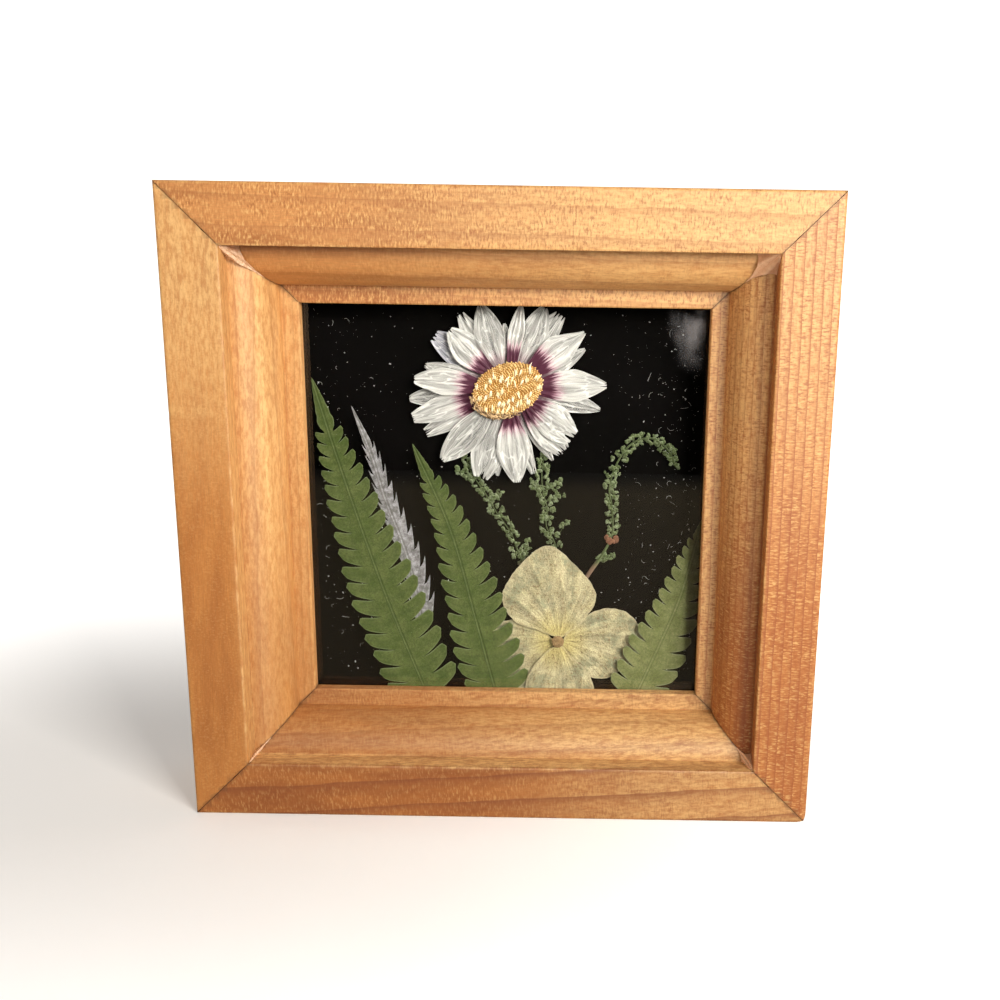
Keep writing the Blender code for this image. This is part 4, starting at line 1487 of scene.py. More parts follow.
@dataclass
class PaperDaisy:
    """The white daisy: twenty-five papery petals round a golden disc."""

    centre: Point = (0.2, 26.3)
    long_radius: float = 8.4
    short_radius: float = 6.0
    disc_turn: float = radians(22)
    root: float = 4.4
    root_width: float = 1.5
    widest: float = 0.58
    first_layer: float = 20.65
    layer_pitch: float = 0.55
    fullness: float = 1.26
    disc_depth: float = 20.5
    floret_count: int = 680
    tuft_count: int = 42
    scale_count: int = 150
    blush_pink: Colour = (0.46, 0.17, 0.26)
    root_maroon: Colour = (0.070, 0.010, 0.030)

    def half_width(self, petal: Petal, share: float) -> float:
        """Half the petal's width, at a share of its length from its root."""
        if share < self.widest:
            grown = sin(share / self.widest * pi / 2) ** 1.2
            return (self.root_width + (petal.width - self.root_width) * grown) / 2
        run = (share - self.widest) / (1 - self.widest)
        power = 0.42 + 0.5 * petal.sharpness
        return petal.width / 2 * max(0.0, 1 - run**power) ** (1 / power)

    def petal(self, number: int, petal: Petal) -> Piece:
        """Makes one petal, creased along its length and worn at its end.

        Args:
            number: Its number round the flower, from 1.
            petal: Its sizes and kind.

        Returns:
            The piece.
        """
        _, blunt, jag, crease = petal.kind.value
        turn = radians(petal.angle)
        along, aside = Vector((cos(turn), sin(turn))), Vector((-sin(turn), cos(turn)))
        depth = self.first_layer + petal.layer * self.layer_pitch
        draw = Random(number * 31)
        ridges = draw.choice((2.5, 3.5, 4.5))
        phase, bend = draw.uniform(0, tau), draw.uniform(-0.35, 0.35)
        marks: Marks = {"rim": []}

        def rule(u: float, v: float) -> Triple:
            half = self.half_width(petal, v * (1 - blunt)) * self.fullness
            tear = waver(u * 4.5 + number * 5, 0.0, number)
            tear += 0.7 * waver(u * 12.0, 7.0, number)
            notch = max(0.0, tear) * jag * ease(0.45, 1.0, v)
            reach = self.root + (petal.length - self.root) * v * (1 - notch)
            sway = bend * sin(v * pi) + 0.12 * waver(v * 4, u * 2, number * 3)
            spot = Vector(self.centre) + along * reach + aside * ((2 * u - 1) * half + sway)
            fold = sin((u * ridges) * tau + phase + 1.5 * waver(v * 3, 0, number))
            wrinkle = waver(u * 6, v * 5.0, number * 7)
            relief = (0.045 * fold + 0.09 * wrinkle) * crease * ease(0.0, 0.25, v)
            relief += 0.14 * (2 * u - 1)
            marks["rim"].append(max(abs(2 * u - 1) ** 6, ease(0.9, 1.0, v)))
            return spot.x, spot.y, depth - max(-0.24, min(0.24, relief))

        made = sheet(f"petal_{number:02d}", 18, 34, rule)
        paint_marks(made, marks)
        thicken(made, 0.06)
        smooth(made, 60)
        dress(made, self.petal_material(number, petal))
        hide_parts(f"daisy_petal_{number:02d}")
        return made

    def petal_material(self, number: int, petal: Petal) -> Material:
        """Papery white with streaks along the petal, and a maroon stain at its root."""
        opacity = petal.kind.value[0]
        material, wiring, shader = new_material(f"petal {number:02d} paper")
        uv = wiring.add("UVMap").outputs["UV"]
        along = wiring.split(uv)[1]
        shifted = wiring.vector("ADD", uv, (number * 3.7, number * 1.3, 0.0))
        streak = wiring.streaks(shifted, (13.0, 1.5, 1.0), 4.0, 0.6)
        fine = wiring.streaks(shifted, (42.0, 4.0, 1.0), 3.0, 0.6)
        cloud = wiring.streaks(shifted, (2.2, 2.6, 1.0), 3.0)
        pale, grey = (0.68, 0.665, 0.635), (0.44, 0.43, 0.415)
        if petal.kind is PetalKind.LILAC:
            pale, grey = (0.56, 0.56, 0.62), (0.38, 0.37, 0.45)
        share = wiring.ramp(wiring.plus(streak, wiring.times(fine, 0.6)), 0.55, 1.0)
        colour = wiring.mix(share, grey, pale)
        crumple = wiring.streaks(shifted, (3.6, 2.6, 1.0), 1.6, 0.5)
        crease = wiring.math("ABSOLUTE", wiring.math("SUBTRACT", crumple, 0.5))
        crease = wiring.ramp(crease, 0.0, 0.040, 0.5, 0.0)
        colour = wiring.mix(crease, colour, (0.88, 0.87, 0.85))
        # Painted shade: grey patches stand for the hollows of the crumpled petal.
        hollow_shade = wiring.streaks(shifted, (4.5, 2.0, 1.0), 2.0, 0.5)
        colour = wiring.mix(wiring.ramp(hollow_shade, 0.34, 0.58, 0.38, 0.0), colour, (0.22, 0.215, 0.21))
        ragged = wiring.plus(along, wiring.ramp(streak, 0.25, 0.75, -0.07, 0.07))
        ragged = wiring.plus(ragged, wiring.ramp(fine, 0.3, 0.7, -0.025, 0.025))
        off_axis = radians(petal.angle) - self.disc_turn
        rim = self.long_radius * self.short_radius
        rim /= hypot(self.short_radius * cos(off_axis), self.long_radius * sin(off_axis))
        stain_end = (rim + 1.1 + 2.1 * petal.blush - self.root) / (petal.length - self.root)
        pink = wiring.ramp(ragged, stain_end - 0.04, stain_end + 0.12, 0.75 * petal.blush, 0.0)
        colour = wiring.mix(pink, colour, self.blush_pink)
        strength = min(1.0, petal.blush * 1.4)
        maroon = wiring.ramp(ragged, stain_end - 0.06, stain_end + 0.03, strength, 0.0)
        colour = wiring.mix(maroon, colour, self.root_maroon)
        wiring.feed(shader.inputs["Base Color"], colour)
        set_plain(shader, Roughness=0.55, Specular_IOR_Level=0.35)
        edge = wiring.attribute("rim")
        veil = wiring.plus(wiring.ramp(streak, 0.35, 0.7, -0.16, 0.26), opacity)
        veil = wiring.plus(veil, wiring.ramp(cloud, 0.3, 0.7, -0.14, 0.10))
        veil = wiring.plus(veil, wiring.times(edge, 0.3))
        veil = wiring.plus(veil, wiring.times(crease, 0.5))
        veil = wiring.plus(veil, wiring.times(maroon, 0.5))
        clamp = wiring.add("Clamp")
        wiring.feed(clamp.inputs[0], veil)
        wiring.feed(shader.inputs["Alpha"], clamp.outputs[0])
        height = wiring.plus(wiring.times(streak, 0.7), wiring.times(fine, 0.4))
        bumped(wiring, shader, wiring.plus(height, wiring.times(crumple, 1.6)), 0.16)
        return material

    def on_disc(self, angle: float, share: float) -> Point:
        """A point of the disc, at a share of its radius in this direction of its own ellipse."""
        x = self.long_radius * share * cos(angle)
        y = self.short_radius * share * sin(angle)
        turn = self.disc_turn
        return (
            self.centre[0] + x * cos(turn) - y * sin(turn),
            self.centre[1] + x * sin(turn) + y * cos(turn),
        )

    def disc_cushion(self) -> Piece:
        """The pressed bed that the florets grow on."""

        def rule(around: float, out: float) -> Triple:
            edge = 0.97 + 0.03 * waver(cos(around * tau) * 3, sin(around * tau) * 3, 1)
            across, up = self.on_disc(around * tau, out * edge)
            lump = 0.05 * waver(across * 1.3, up * 1.3, 4.0)
            return across, up, self.disc_depth + 0.1 + 0.16 * out**3 - lump

        made = sheet("disc_cushion", 56, 12, rule)
        thicken(made, 0.16)
        smooth(made, 60)
        dress(made, DISC_BED.material())
        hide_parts("daisy_disc")
        return made

    def florets(self) -> Piece:
        """Several hundred tiny golden florets in spirals."""
        draw = Random(3)
        template = ball()
        places = []
        for i in range(self.floret_count):
            share = sqrt((i + 0.5) / self.floret_count)
            angle = i * GOLDEN_ANGLE
            across, up = self.on_disc(angle, share * 0.985)
            size = draw.uniform(0.17, 0.30) * (0.85 + 0.25 * share)
            outwards = atan2(up - self.centre[1], across - self.centre[0])
            lean = outwards + draw.uniform(-0.5, 0.5)
            shape = (size * draw.uniform(1.0, 1.7), 0.16, size * 0.8)
            depth = self.disc_depth + 0.02 + draw.uniform(-0.08, 0.08)
            places.append((placed(across, up, depth, lean, shape), draw.random()))
        made = scattered("disc_florets", template, places)
        dress(made, self.floret_material("golden florets", (0.54, 0.29, 0.085), (0.82, 0.58, 0.25)))
        return made

    def tufts(self) -> Piece:
        """Cream stigmas that lie in slanting tufts over the middle of the disc."""
        draw = Random(11)
        template = ball()
        places = []
        for number in range(self.tuft_count):
            row, place = divmod(number, 11)
            short = (0.46, 0.02, -0.42, -0.74)[row]
            run = (place - (4.5 if row < 3 else 4.0)) / 5.6 * sqrt(1 - short * short)
            run, short = run + draw.gauss(0, 0.03), short + draw.gauss(0, 0.07)
            across, up = self.on_disc(atan2(short, run), min(0.9, hypot(short, run)))
            lean = radians(76) + draw.gauss(0, 0.22)
            for _ in range(5):
                turn = lean + draw.gauss(0, 0.12)
                x, y = across + draw.gauss(0, 0.15), up + draw.gauss(0, 0.2)
                shape = (draw.uniform(0.5, 0.95), 0.13, draw.uniform(0.08, 0.14))
                depth = self.disc_depth - 0.12 + draw.uniform(-0.05, 0.05)
                places.append((placed(x, y, depth, turn, shape), draw.random()))
        made = scattered("disc_tufts", template, places)
        dress(made, self.floret_material("cream stigmas", (0.92, 0.78, 0.46), (0.97, 0.93, 0.74)))
        return made

    def rim(self) -> Piece:
        """Dried brown scales along the disc's lower left edge."""
        draw = Random(23)
        template = ball()
        places = []
        for _ in range(self.scale_count):
            angle = radians(draw.triangular(180, 300, 240)) - self.disc_turn
            across, up = self.on_disc(angle, draw.uniform(0.90, 1.06))
            outwards = atan2(up - self.centre[1], across - self.centre[0])
            shape = (draw.uniform(0.3, 0.85), 0.08, draw.uniform(0.09, 0.2))
            turn = outwards + pi / 2 + draw.gauss(0, 0.35)
            depth = self.disc_depth - 0.16 + draw.uniform(-0.06, 0.08)
            places.append((placed(across, up, depth, turn, shape), draw.random()))
        made = scattered("disc_rim_scales", template, places)
        dress(made, self.floret_material("dried scales", (0.10, 0.042, 0.012), (0.66, 0.45, 0.24)))
        return made

    def floret_material(self, name: str, low: Colour, high: Colour) -> Material:
        """A grainy finish whose colour runs with each copy's tint."""
        material, wiring, shader = new_material(name)
        speck = wiring.speckle(wiring.object_place(), 5.0, 2.0)
        tint = wiring.plus(wiring.attribute("tint"), wiring.ramp(speck, 0.3, 0.7, -0.25, 0.25))
        colour = wiring.mix(wiring.ramp(tint, 0.05, 0.95), low, high)
        wiring.feed(shader.inputs["Base Color"], colour)
        set_plain(shader, Roughness=0.85)
        bumped(wiring, shader, speck, 0.03)
        return material

    def build(self) -> list[Piece]:
        """Makes the whole flower.

        Returns:
            The pieces.
        """
        pieces = [self.petal(number, petal) for number, petal in enumerate(PETALS, start=1)]
        disc = [self.disc_cushion(), self.florets(), self.tufts(), self.rim()]
        return pieces + disc


# ---- Cream floret ------------------------------------------------


@dataclass(frozen=True)
class Sepal:
    """One sepal: its outline, its depth, and the middle that its surface fans out from."""

    name: str
    depth: float
    outline: Sequence[Point]
    middle: Point


SEPALS = (
    Sepal("cream_sepal_top", 21.2, [
        (12.3, -33.2), (6.5, -31.2), (1.8, -29.4), (-1.2, -23.0), (3.2, -15.2),
        (9.6, -10.5), (16.2, -15.2), (21.2, -22.3), (18.6, -28.6), (14.5, -32.2),
    ], (10.4, -23.6)),
    Sepal("cream_sepal_right", 21.75, [
        (13.2, -34.6), (17.6, -28.8), (23.6, -26.0), (29.6, -27.6), (33.2, -34.4),
        (30.6, -38.4), (27.6, -41.6), (23.4, -43.9), (18.4, -42.6), (14.6, -38.0),
    ], (22.8, -35.4)),
    Sepal("cream_sepal_bottom", 21.2, [
        (12.4, -35.4), (15.4, -38.0), (19.8, -42.6), (20.8, -48.0), (14.0, -49.8),
        (5.4, -49.6), (4.8, -44.0), (8.4, -38.2),
    ], (13.0, -43.4)),
    Sepal("cream_sepal_left", 21.75, [
        (11.2, -34.4), (5.0, -29.6), (-2.6, -30.2), (-5.6, -35.0), (-5.0, -41.4),
        (0.4, -46.6), (4.6, -47.6), (7.0, -43.0), (9.4, -37.8),
    ], (2.4, -38.0)),
)  # fmt: skip


@dataclass
class CreamFloret:
    """Four papery cream sepals round a small brown button."""

    centre: Point = (12.2, -34.2)
    button_radius: float = 1.45
    button_depth: float = 20.5
    stamens: int = 46

    def edge(self, sepal: Sepal, share: float) -> Vector:
        """A point of the sepal's outline, at a share of the way round."""
        points = [Vector(point) for point in sepal.outline]
        place = share * len(points)
        i = int(place) % len(points)
        guides = [points[(i + k) % len(points)] for k in (-1, 0, 1, 2)]
        return between(*guides, place - int(place))

    def sepal(self, sepal: Sepal, material: Material) -> Piece:
        """Makes one sepal, creased outwards from the floret's middle.

        Args:
            sepal: Its outline and depth.
            material: The shared finish.

        Returns:
            The piece.
        """
        seed = len(sepal.outline) + sepal.middle[0]
        marks: list[float] = []

        def rule(around: float, out: float) -> Triple:
            border = self.edge(sepal, around % 1.0)
            nick = 0.22 * waver(border.x * 0.8, border.y * 0.8, seed)
            middle = Vector(sepal.middle)
            away = border - middle
            spot = middle + away * out * (1 + nick / away.length * 0.9)
            x, y = spot.x - self.centre[0], spot.y - self.centre[1]
            reach, angle = hypot(x, y), atan2(y, x)
            fan = waver(cos(angle) * 7, sin(angle) * 7, reach * 0.06 + seed)
            fan *= ease(0.5, 4.0, reach) * (1 - 0.5 * ease(8.0, 20.0, reach))
            crumple = waver(spot.x * 0.55, spot.y * 0.3, seed * 2)
            relief = 0.12 * fan + 0.1 * crumple
            if sepal.name == "cream_sepal_top":
                line = spot.x - (10.6 + (-13.0 - spot.y) * 0.35)
                fold = 0.12 * bell(line, 0.35) - 0.1 * bell(line - 0.6, 0.3)
                relief += fold * ease(-25.0, -21.5, spot.y) * ease(-12.5, -15.0, spot.y)
            marks.append(out)
            return spot.x, spot.y, sepal.depth - max(-0.17, min(0.17, relief))

        made = sheet(f"{sepal.name}_leaf", 120, 30, rule)
        paint_values(made, "margin", marks)
        thicken(made, 0.09)
        smooth(made, 60)
        dress(made, material)
        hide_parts(sepal.name)
        return made

    def sepal_material(self, group: Tree) -> Material:
        """Cream with a yellow throat, grey-green bruises, brown specks and fanned veins."""
        material, wiring, shader = new_material("cream sepal")
        place = wiring.object_place(picture_point(*self.centre, 0.0))
        place = wiring.stretched(place, (1.0, 0.0, 1.0))
        reach = wiring.length(place)
        heading = wiring.vector("DIVIDE", place, wiring.triple(wiring.plus(reach, 0.01)))
        outwards = wiring.triple(wiring.times(reach, 0.07))
        lane = wiring.vector("ADD", wiring.stretched(heading, (9.0, 9.0, 9.0)), outwards)
        fan = wiring.speckle(lane, 1.0, 4.0, 0.65)
        dried = wiring.group(
            group,
            Place=place,
            Fresh=(0.52, 0.455, 0.28, 1.0),
            Faded=(0.41, 0.355, 0.20, 1.0),
            Blotch_Scale=0.3,
            Grain=0.3,
        )
        colour = dried.outputs["Color"]
        throat = wiring.ramp(reach, 1.5, 9.5, 0.62, 0.0)
        colour = wiring.mix(throat, colour, (0.52, 0.42, 0.12))
        bruise = wiring.speckle(wiring.vector("ADD", place, (3.1, 0.0, 8.3)), 0.20, 4.0, 0.65)
        mask = wiring.times(wiring.ramp(bruise, 0.46, 0.64, 0.0, 0.8), wiring.ramp(reach, 4.0, 10.0))
        colour = wiring.mix(mask, colour, (0.225, 0.235, 0.145))
        fleck = wiring.speckle(place, 1.5, 4.0, 0.75)
        crowd = wiring.ramp(wiring.speckle(place, 0.3, 2.0), 0.35, 0.65, 0.3, 1.0)
        mask = wiring.times(wiring.ramp(fleck, 0.52, 0.60, 0.0, 0.85), crowd)
        colour = wiring.mix(mask, colour, (0.20, 0.13, 0.065))
        colour = wiring.shade(colour, wiring.ramp(fan, 0.28, 0.72, 0.66, 1.2))
        edge = wiring.ramp(wiring.attribute("margin"), 0.93, 1.0, 0.0, 0.4)
        colour = wiring.mix(edge, colour, (0.50, 0.42, 0.27))
        wiring.feed(shader.inputs["Base Color"], colour)
        set_plain(shader, Roughness=0.7, Specular_IOR_Level=0.3)
        height = wiring.plus(wiring.times(fan, 1.4), dried.outputs["Height"])
        bumped(wiring, shader, wiring.plus(height, wiring.times(fleck, 1.2)), 0.16)
        return material

    def button(self) -> list[Piece]:
        """The brown middle, with its ring of dried stamens."""
        draw = Random(5)

        def rule(around: float, out: float) -> Triple:
            wobble = 1 + 0.08 * waver(cos(around * tau) * 2, sin(around * tau) * 2, 2)
            radius = self.button_radius * out * wobble
            across = self.centre[0] + radius * cos(around * tau)
            up = self.centre[1] + radius * sin(around * tau)
            return across, up, self.button_depth + 0.22 * out * out - 0.1 * sin(pi * out)

        cup = sheet("button_cup", 30, 8, rule)
        thicken(cup, 0.14)
        smooth(cup, 60)
        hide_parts("cream_button")
        template = ball()
        places = []
        for i in range(self.stamens):
            angle, share = i * GOLDEN_ANGLE, sqrt((i + 0.5) / self.stamens)
            across = self.centre[0] + self.button_radius * share * cos(angle)
            up = self.centre[1] + self.button_radius * share * sin(angle)
            shape = (draw.uniform(0.14, 0.28), 0.12, draw.uniform(0.09, 0.14))
            depth = self.button_depth - 0.05 + 0.1 * share
            turn = angle + draw.gauss(0, 0.3)
            places.append((placed(across, up, depth, turn, shape), draw.random()))
        stamens = scattered("button_stamens", template, places)
        material = BUTTON.material()
        for piece in (cup, stamens):
            dress(piece, material)
        return [cup, stamens]

    def build(self, group: Tree) -> list[Piece]:
        """Makes the whole floret.

        Args:
            group: The shared dried plant group.

        Returns:
            The pieces.
        """
        material = self.sepal_material(group)
        return [self.sepal(sepal, material) for sepal in SEPALS] + self.button()


# ---- Sprigs of tiny buds -----------------------------------------


@dataclass(frozen=True)
class Twig:
    """A stalk with buds: its route, where the buds begin along it and how far they spread."""

    route: Sequence[Point]
    buds_from: float
    spread: float = 1.75
    bud: float = 0.64
    stalk: float = 0.3


@dataclass
class BudSprig:
    """One sprig: its main stalk and side twigs, set with small cupped buds."""

    node: str
    twigs: Sequence[Twig]
    depth: float = 22.85

    def bud_template(self) -> Piece:
        """Three cupped scales, as one small shape a unit wide."""
        scales = []
        for turn, aside in ((0.0, 0.0), (0.75, 0.32), (-0.75, -0.32)):
            scale = ball(1)
            scale.scale = (0.60, 0.34, 0.36)
            scale.rotation_euler = (0.0, -turn, 0.0)
            scale.location = (0.35 - abs(aside) * 0.35, -0.12 * abs(aside), aside)
            settle(scale)
            scales.append(scale)
        return joined("bud_template", scales)

    def build(self, material: Material) -> list[Piece]:
        """Makes the stalks and the buds.

        Args:
            material: The buds' finish.

        Returns:
            The pieces.
        """
        draw = Random(sum(map(ord, self.node)))
        places, stalks = [], []
        for number, twig in enumerate(self.twigs):
            route = Route(twig.route, 0.4)
            stalks.append(
                stalk(
                    f"stalk_{number}",
                    route,
                    self.depth,
                    lambda share: twig.stalk * (0.45 + 0.55 * ease(0.3, 0.12, share)),
                )
            )
            travelled = twig.buds_from * route.length
            hand = 1
            while travelled < route.length:
                hand = -hand
                spot, ahead = route.at(travelled / route.length)
                aside = Vector((ahead.y, -ahead.x)) * hand
                narrowing = 0.5 + 0.5 * ease(0.0, 3.5, route.length - travelled)
                out = draw.uniform(0.22, 0.68) * twig.spread * narrowing
                for _ in range(draw.choice((5, 6, 7, 8))):
                    middle = spot + aside * max(0.1, out + draw.gauss(0, 0.26))
                    middle += ahead * draw.gauss(0, 0.34)
                    fan = middle - spot - ahead * 0.8
                    turn = atan2(fan.y, fan.x) + draw.gauss(0, 0.7)
                    size = twig.bud * draw.uniform(0.75, 1.15)
                    depth = self.depth + draw.uniform(-0.12, 0.12)
                    shape = (size, size * 0.42, size)
                    places.append((placed(*middle, depth, turn, shape), draw.random()))
                travelled += 0.8 * draw.uniform(0.8, 1.3)
        buds = scattered(f"{self.node}_buds", self.bud_template(), places)
        dress(buds, material)
        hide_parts(self.node)
        stems = joined(f"{self.node}_stalks", stalks)
        dress(stems, material)
        return [buds, stems]


SPRIGS = (
    BudSprig("sprig_left", (
        Twig([(5.0, -18.5), (2.4, -12.2), (0.8, -8.0), (-2.6, -3.0), (-5.4, 1.8), (-8.6, 6.8),
              (-9.8, 11.5)], 0.12),
        Twig([(-7.4, 5.0), (-9.6, 5.8), (-12.4, 7.6)], 0.2, 0.8),
        Twig([(-4.2, -0.4), (-2.6, 0.9), (-1.2, 2.2)], 0.3, 0.7),
        Twig([(3.2, -14.0), (4.4, -12.2), (4.4, -9.4)], 0.1, 0.8),
    )),
    BudSprig("sprig_middle", (
        Twig([(12.4, -17.0), (11.2, -10.4), (9.2, -6.2), (9.4, -2.4), (8.4, 2.0), (8.0, 6.4),
              (8.6, 11.5)], 0.2),
        Twig([(8.8, 2.6), (10.8, 3.4), (12.8, 5.2)], 0.25, 0.8),
        Twig([(8.2, 2.2), (6.6, 3.0), (5.2, 4.6)], 0.25, 0.7),
        Twig([(9.0, 0.0), (10.8, 0.6), (12.8, 1.8)], 0.3, 0.7),
        Twig([(9.3, -3.8), (8.4, -3.9), (7.6, -4.0)], 0.2, 0.6),
        Twig([(11.5, -9.4), (13.0, -6.6), (14.2, -4.4)], 0.68, 1.4, stalk=0.14),
    )),
    BudSprig("sprig_right", (
        Twig([(17.0, -22.0), (19.6, -17.4), (22.6, -12.8), (24.7, -8.0), (24.6, -2.0),
              (23.9, 3.6), (25.6, 9.4), (28.8, 13.8), (33.2, 15.2), (37.2, 12.6),
              (39.3, 8.3)], 0.30, stalk=0.5),
        Twig([(21.6, -14.2), (23.6, -13.4), (25.6, -13.2)], 0.1, 0.6),
    )),
)  # fmt: skip


def sprig_material(group: Tree) -> Material:
    """Dull green buds whose tips are paler, each copy a little different."""
    material, wiring, shader = new_material("dried buds")
    dried = wiring.group(
        group,
        Place=wiring.object_place(),
        Fresh=(0.072, 0.104, 0.026, 1.0),
        Faded=(0.110, 0.140, 0.052, 1.0),
        Blotch_Scale=0.3,
        Grain=0.3,
    )
    tint = wiring.attribute("tint")
    pale = wiring.ramp(tint, 0.5, 1.0, 0.0, 0.75)
    colour = wiring.mix(pale, dried.outputs["Color"], (0.23, 0.27, 0.16))
    colour = wiring.shade(colour, wiring.ramp(tint, 0.0, 0.5, 0.7, 1.0))
    edge = wiring.ramp(wiring.attribute("rim"), 0.35, 0.75, 0.0, 0.55)
    colour = wiring.mix(edge, colour, (0.24, 0.28, 0.155))
    height = wiring.split(wiring.object_place(picture_point(0.0, -15.5, 0.0)))[2]
    foot = wiring.ramp(height, -1.5, 1.5, 0.85, 0.0)
    colour = wiring.mix(foot, colour, (0.20, 0.11, 0.075))
    wiring.feed(shader.inputs["Base Color"], colour)
    set_plain(shader, Roughness=0.82)
    bumped(wiring, shader, dried.outputs["Height"], 0.05)
    return material


def brown_bit() -> Piece:
    """The curled brown bit caught on the right sprig."""
    draw = Random(29)
    places = []
    for _ in range(9):
        across, up = 25.2 + draw.gauss(0, 0.75), -9.2 + draw.gauss(0, 0.55)
        shape = (draw.uniform(0.5, 1.0), 0.09, draw.uniform(0.35, 0.65))
        places.append((placed(across, up, 22.55, draw.uniform(0, tau), shape), draw.random()))
    made = scattered("sprig_brown_bit", ball(2), places)
    dress(made, BROWN_BIT.material())
    return made


# ---- Studio ------------------------------------------------------


@dataclass
class Studio:
    """The camera, the pale floor and the soft lights."""

    camera_place: Triple = (0.01753, -0.24344, 0.12872)
    yaw: float = radians(-0.09)
    pitch: float = radians(-13.34)
    roll: float = radians(0.89)
    lens: float = 39.6
    shift: tuple[float, float] = (-0.0804, 0.0048)
    floor_front: float = 0.37
    key_power: float = 5.2
    glint_power: float = 9.0
    sweep_radius: float = 0.45
    sweep_steps: int = 12

    def camera(self) -> None:
        """Sets the camera up."""
        forward = Vector((
            sin(self.yaw) * cos(self.pitch), cos(self.yaw) * cos(self.pitch), sin(self.pitch)
        ))  # fmt: skip
        level = Vector((cos(self.yaw), -sin(self.yaw), 0.0))
        upright = level.cross(forward)
        right = cos(self.roll) * level + sin(self.roll) * upright
        up = -sin(self.roll) * level + cos(self.roll) * upright
        data = bpy.data.cameras.new("camera")
        data.lens = self.lens
        data.shift_x, data.shift_y = self.shift
        data.clip_start = 0.01
        obj = bpy.data.objects.new("camera", data)
        matrix = Matrix((right, up, -forward)).transposed().to_4x4()
        matrix.translation = self.camera_place
        obj.matrix_world = matrix
        bpy.context.scene.collection.objects.link(obj)
        bpy.context.scene.camera = obj

    def floor(self) -> None:
        """A white sweep: a flat floor that curves up into a wall far behind the frame."""
        select_only()
        bpy.ops.mesh.primitive_plane_add(size=2.0)
        sweep = bpy.context.object
        sweep.name = "floor"
        sweep.scale = (1.5, (0.9 + self.floor_front) / 2, 1.0)
        sweep.location = (0.0, (0.9 - self.floor_front) / 2, 0.0)
        settle(sweep)
        points = sweep.data.vertices
        far = max(vertex.co.y for vertex in points) - 1e-4
        for face in sweep.data.polygons:
            face.select = False
        for edge in sweep.data.edges:
            edge.select = all(points[i].co.y > far for i in edge.vertices)
        for vertex in points:
            vertex.select = vertex.co.y > far
        select_only(sweep)
        bpy.ops.object.mode_set(mode="EDIT")
        radius = self.sweep_radius
        for i in range(self.sweep_steps):
            turn, after = (k / self.sweep_steps * QUARTER for k in (i, i + 1))
            move = (0.0, radius * (sin(after) - sin(turn)), radius * (cos(turn) - cos(after)))
            bpy.ops.mesh.extrude_region_move(TRANSFORM_OT_translate={"value": move})
        bpy.ops.mesh.extrude_region_move(TRANSFORM_OT_translate={"value": (0.0, 0.0, 1.2)})
        bpy.ops.object.mode_set(mode="OBJECT")
        smooth(sweep, 60)
        material, wiring, shader = new_material("white floor")
        paper = wiring.speckle(wiring.object_place(), 0.02, 3.0)
        white = wiring.mix(wiring.ramp(paper, 0.3, 0.7), (0.90, 0.90, 0.895), (0.92, 0.92, 0.915))
        path = wiring.add("LightPath")
        # Painted reflection: glossy rays, as seen in the glass, find a dim warm brown floor, black
        # at its front edge; the camera sees it white and other rays a paler grey.
        front = -self.floor_front / MM
        near = wiring.ramp(wiring.split(wiring.object_place())[1], front, front + 60)
        gloss = wiring.mix(near, (0.0, 0.0, 0.0), (0.16, 0.125, 0.07))
        unseen_with_painted_reflection = wiring.mix(path.outputs["Is Glossy Ray"], (0.75, 0.74, 0.72), gloss)
        colour = wiring.mix(path.outputs["Is Camera Ray"], unseen_with_painted_reflection, white)
        wiring.feed(shader.inputs["Base Color"], colour)
        # Painted shadow and glow: for the camera the floor glows, faintly near the frame's lower
        # left corner, where it is left darker, and fully farther away.
        corner = wiring.object_place(Vector((-0.075, 0.0, 0.0)))
        away = wiring.length(wiring.stretched(corner, (0.7, 1.0, 1.0)))
        lift = wiring.ramp(away, 25.0, 185.0, 0.17, 1.0)
        set_plain(shader, Emission_Color=(1.0, 0.985, 0.96, 1.0))
        lift = wiring.times(lift, path.outputs["Is Camera Ray"])
        wiring.feed(shader.inputs["Emission Strength"], lift)
        set_plain(shader, Roughness=0.7, Specular_IOR_Level=0.2)
        dress(sweep, material)

    def light(
        self,
        name: str,
        place: Triple,
        size: float,
        power: float,
        tint: Colour,
        shines_on: Sequence[Piece] = (),
    ) -> None:
        """A square softbox aimed at the middle of the frame.

        Args:
            name: The light's name.
            place: Where it stands, in metres.
            size: The length of its side.
            power: Its power in watts.
            tint: Its colour.
            shines_on: The only objects that it makes shine, for a light that makes gloss alone.
        """
        data = bpy.data.lights.new(name, "AREA")
        data.size, data.energy, data.color = size, power, tint
        obj = bpy.data.objects.new(name, data)
        obj.location = place
        aim = MIDDLE - Vector(place)
        obj.rotation_euler = aim.to_track_quat("-Z", "Y").to_euler()
        if shines_on:
            obj.visible_diffuse = False
            shined = bpy.data.collections.new(f"{name} receivers")
            for receiver in shines_on:
                shined.objects.link(receiver)
            obj.light_linking.receiver_collection = shined
        bpy.context.scene.collection.objects.link(obj)

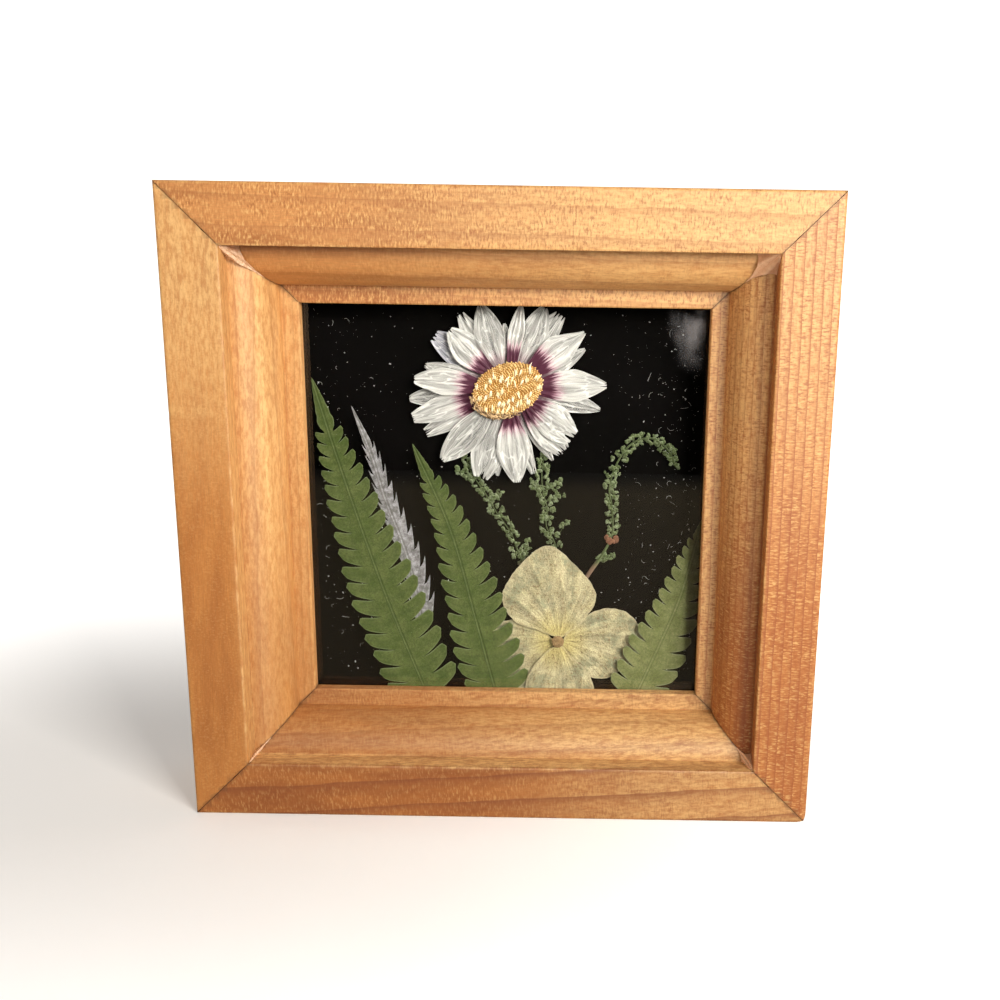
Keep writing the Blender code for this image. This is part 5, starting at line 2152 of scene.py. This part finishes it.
    def surroundings(self) -> None:
        """A pale room to look at, a soft fill for matt surfaces, and a dim one for gloss."""
        world = bpy.data.worlds.new("studio")
        world.use_nodes = True
        bpy.context.scene.world = world
        wiring = Wiring(world.node_tree)
        background = world.node_tree.nodes["Background"]
        path = wiring.add("LightPath")
        heading = wiring.add("TexCoord").outputs["Generated"]
        _, back, height = wiring.split(heading)
        sky = wiring.ramp(height, 0.02, 0.30)
        gloss = wiring.mix(sky, (0.004, 0.003, 0.002), (0.26, 0.25, 0.23))
        left_front = wiring.vector("DOT_PRODUCT", heading, (-0.80, -0.58, -0.15))
        lit = wiring.ramp(left_front, 0.05, 0.88)
        soft = wiring.mix(lit, (0.16, 0.16, 0.17), (0.86, 0.77, 0.65))
        behind = wiring.ramp(back, 0.15, 0.9)
        soft = wiring.mix(behind, soft, (0.85, 0.85, 0.87))
        gloss = wiring.mix(behind, gloss, (0.80, 0.80, 0.82))
        fill = wiring.mix(path.outputs["Is Glossy Ray"], soft, gloss)
        colour = wiring.mix(path.outputs["Is Camera Ray"], fill, (0.96, 0.96, 0.96))
        wiring.feed(background.inputs["Color"], colour)

    def build(self) -> None:
        """Sets everything up."""
        self.camera()
        self.floor()
        self.surroundings()
        self.light("key", (0.42, -0.52, 0.32), 0.26, self.key_power, (1.0, 0.95, 0.88))
        bpy.context.scene.view_settings.view_transform = "Standard"

    def glint(self, rails: Sequence[Piece]) -> None:
        """Adds the low reflection that catches the rails' upper right corner."""
        self.light("glint", (0.34, -0.85, 0.30), 0.22, self.glint_power, (1.0, 0.93, 0.74), rails)


# ---- Everything in order -----------------------------------------


def report(pieces: Sequence[Piece]) -> None:
    """Lets each piece ride on the frame's one body and logs it."""
    for piece in pieces:
        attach(piece, BODY)
        LOG.info("%s: %d faces", piece.name, len(piece.data.polygons))


def main() -> None:
    """Builds the studio, the frame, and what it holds."""
    logging.basicConfig(level=logging.INFO, format="%(name)s %(message)s")
    studio = Studio()
    studio.build()
    wood = WoodenFrame().build()
    studio.glint(wood)
    report(wood)
    report(GlazedStack().build())
    dried = dried_group()
    report([frond.build(dried) for frond in FRONDS])
    report(PaperDaisy().build())
    report(CreamFloret().build(dried))
    buds = sprig_material(dried)
    for sprig in SPRIGS:
        report(sprig.build(buds))
    report([brown_bit()])
    select_only()


if __name__ == "__main__":
    main()
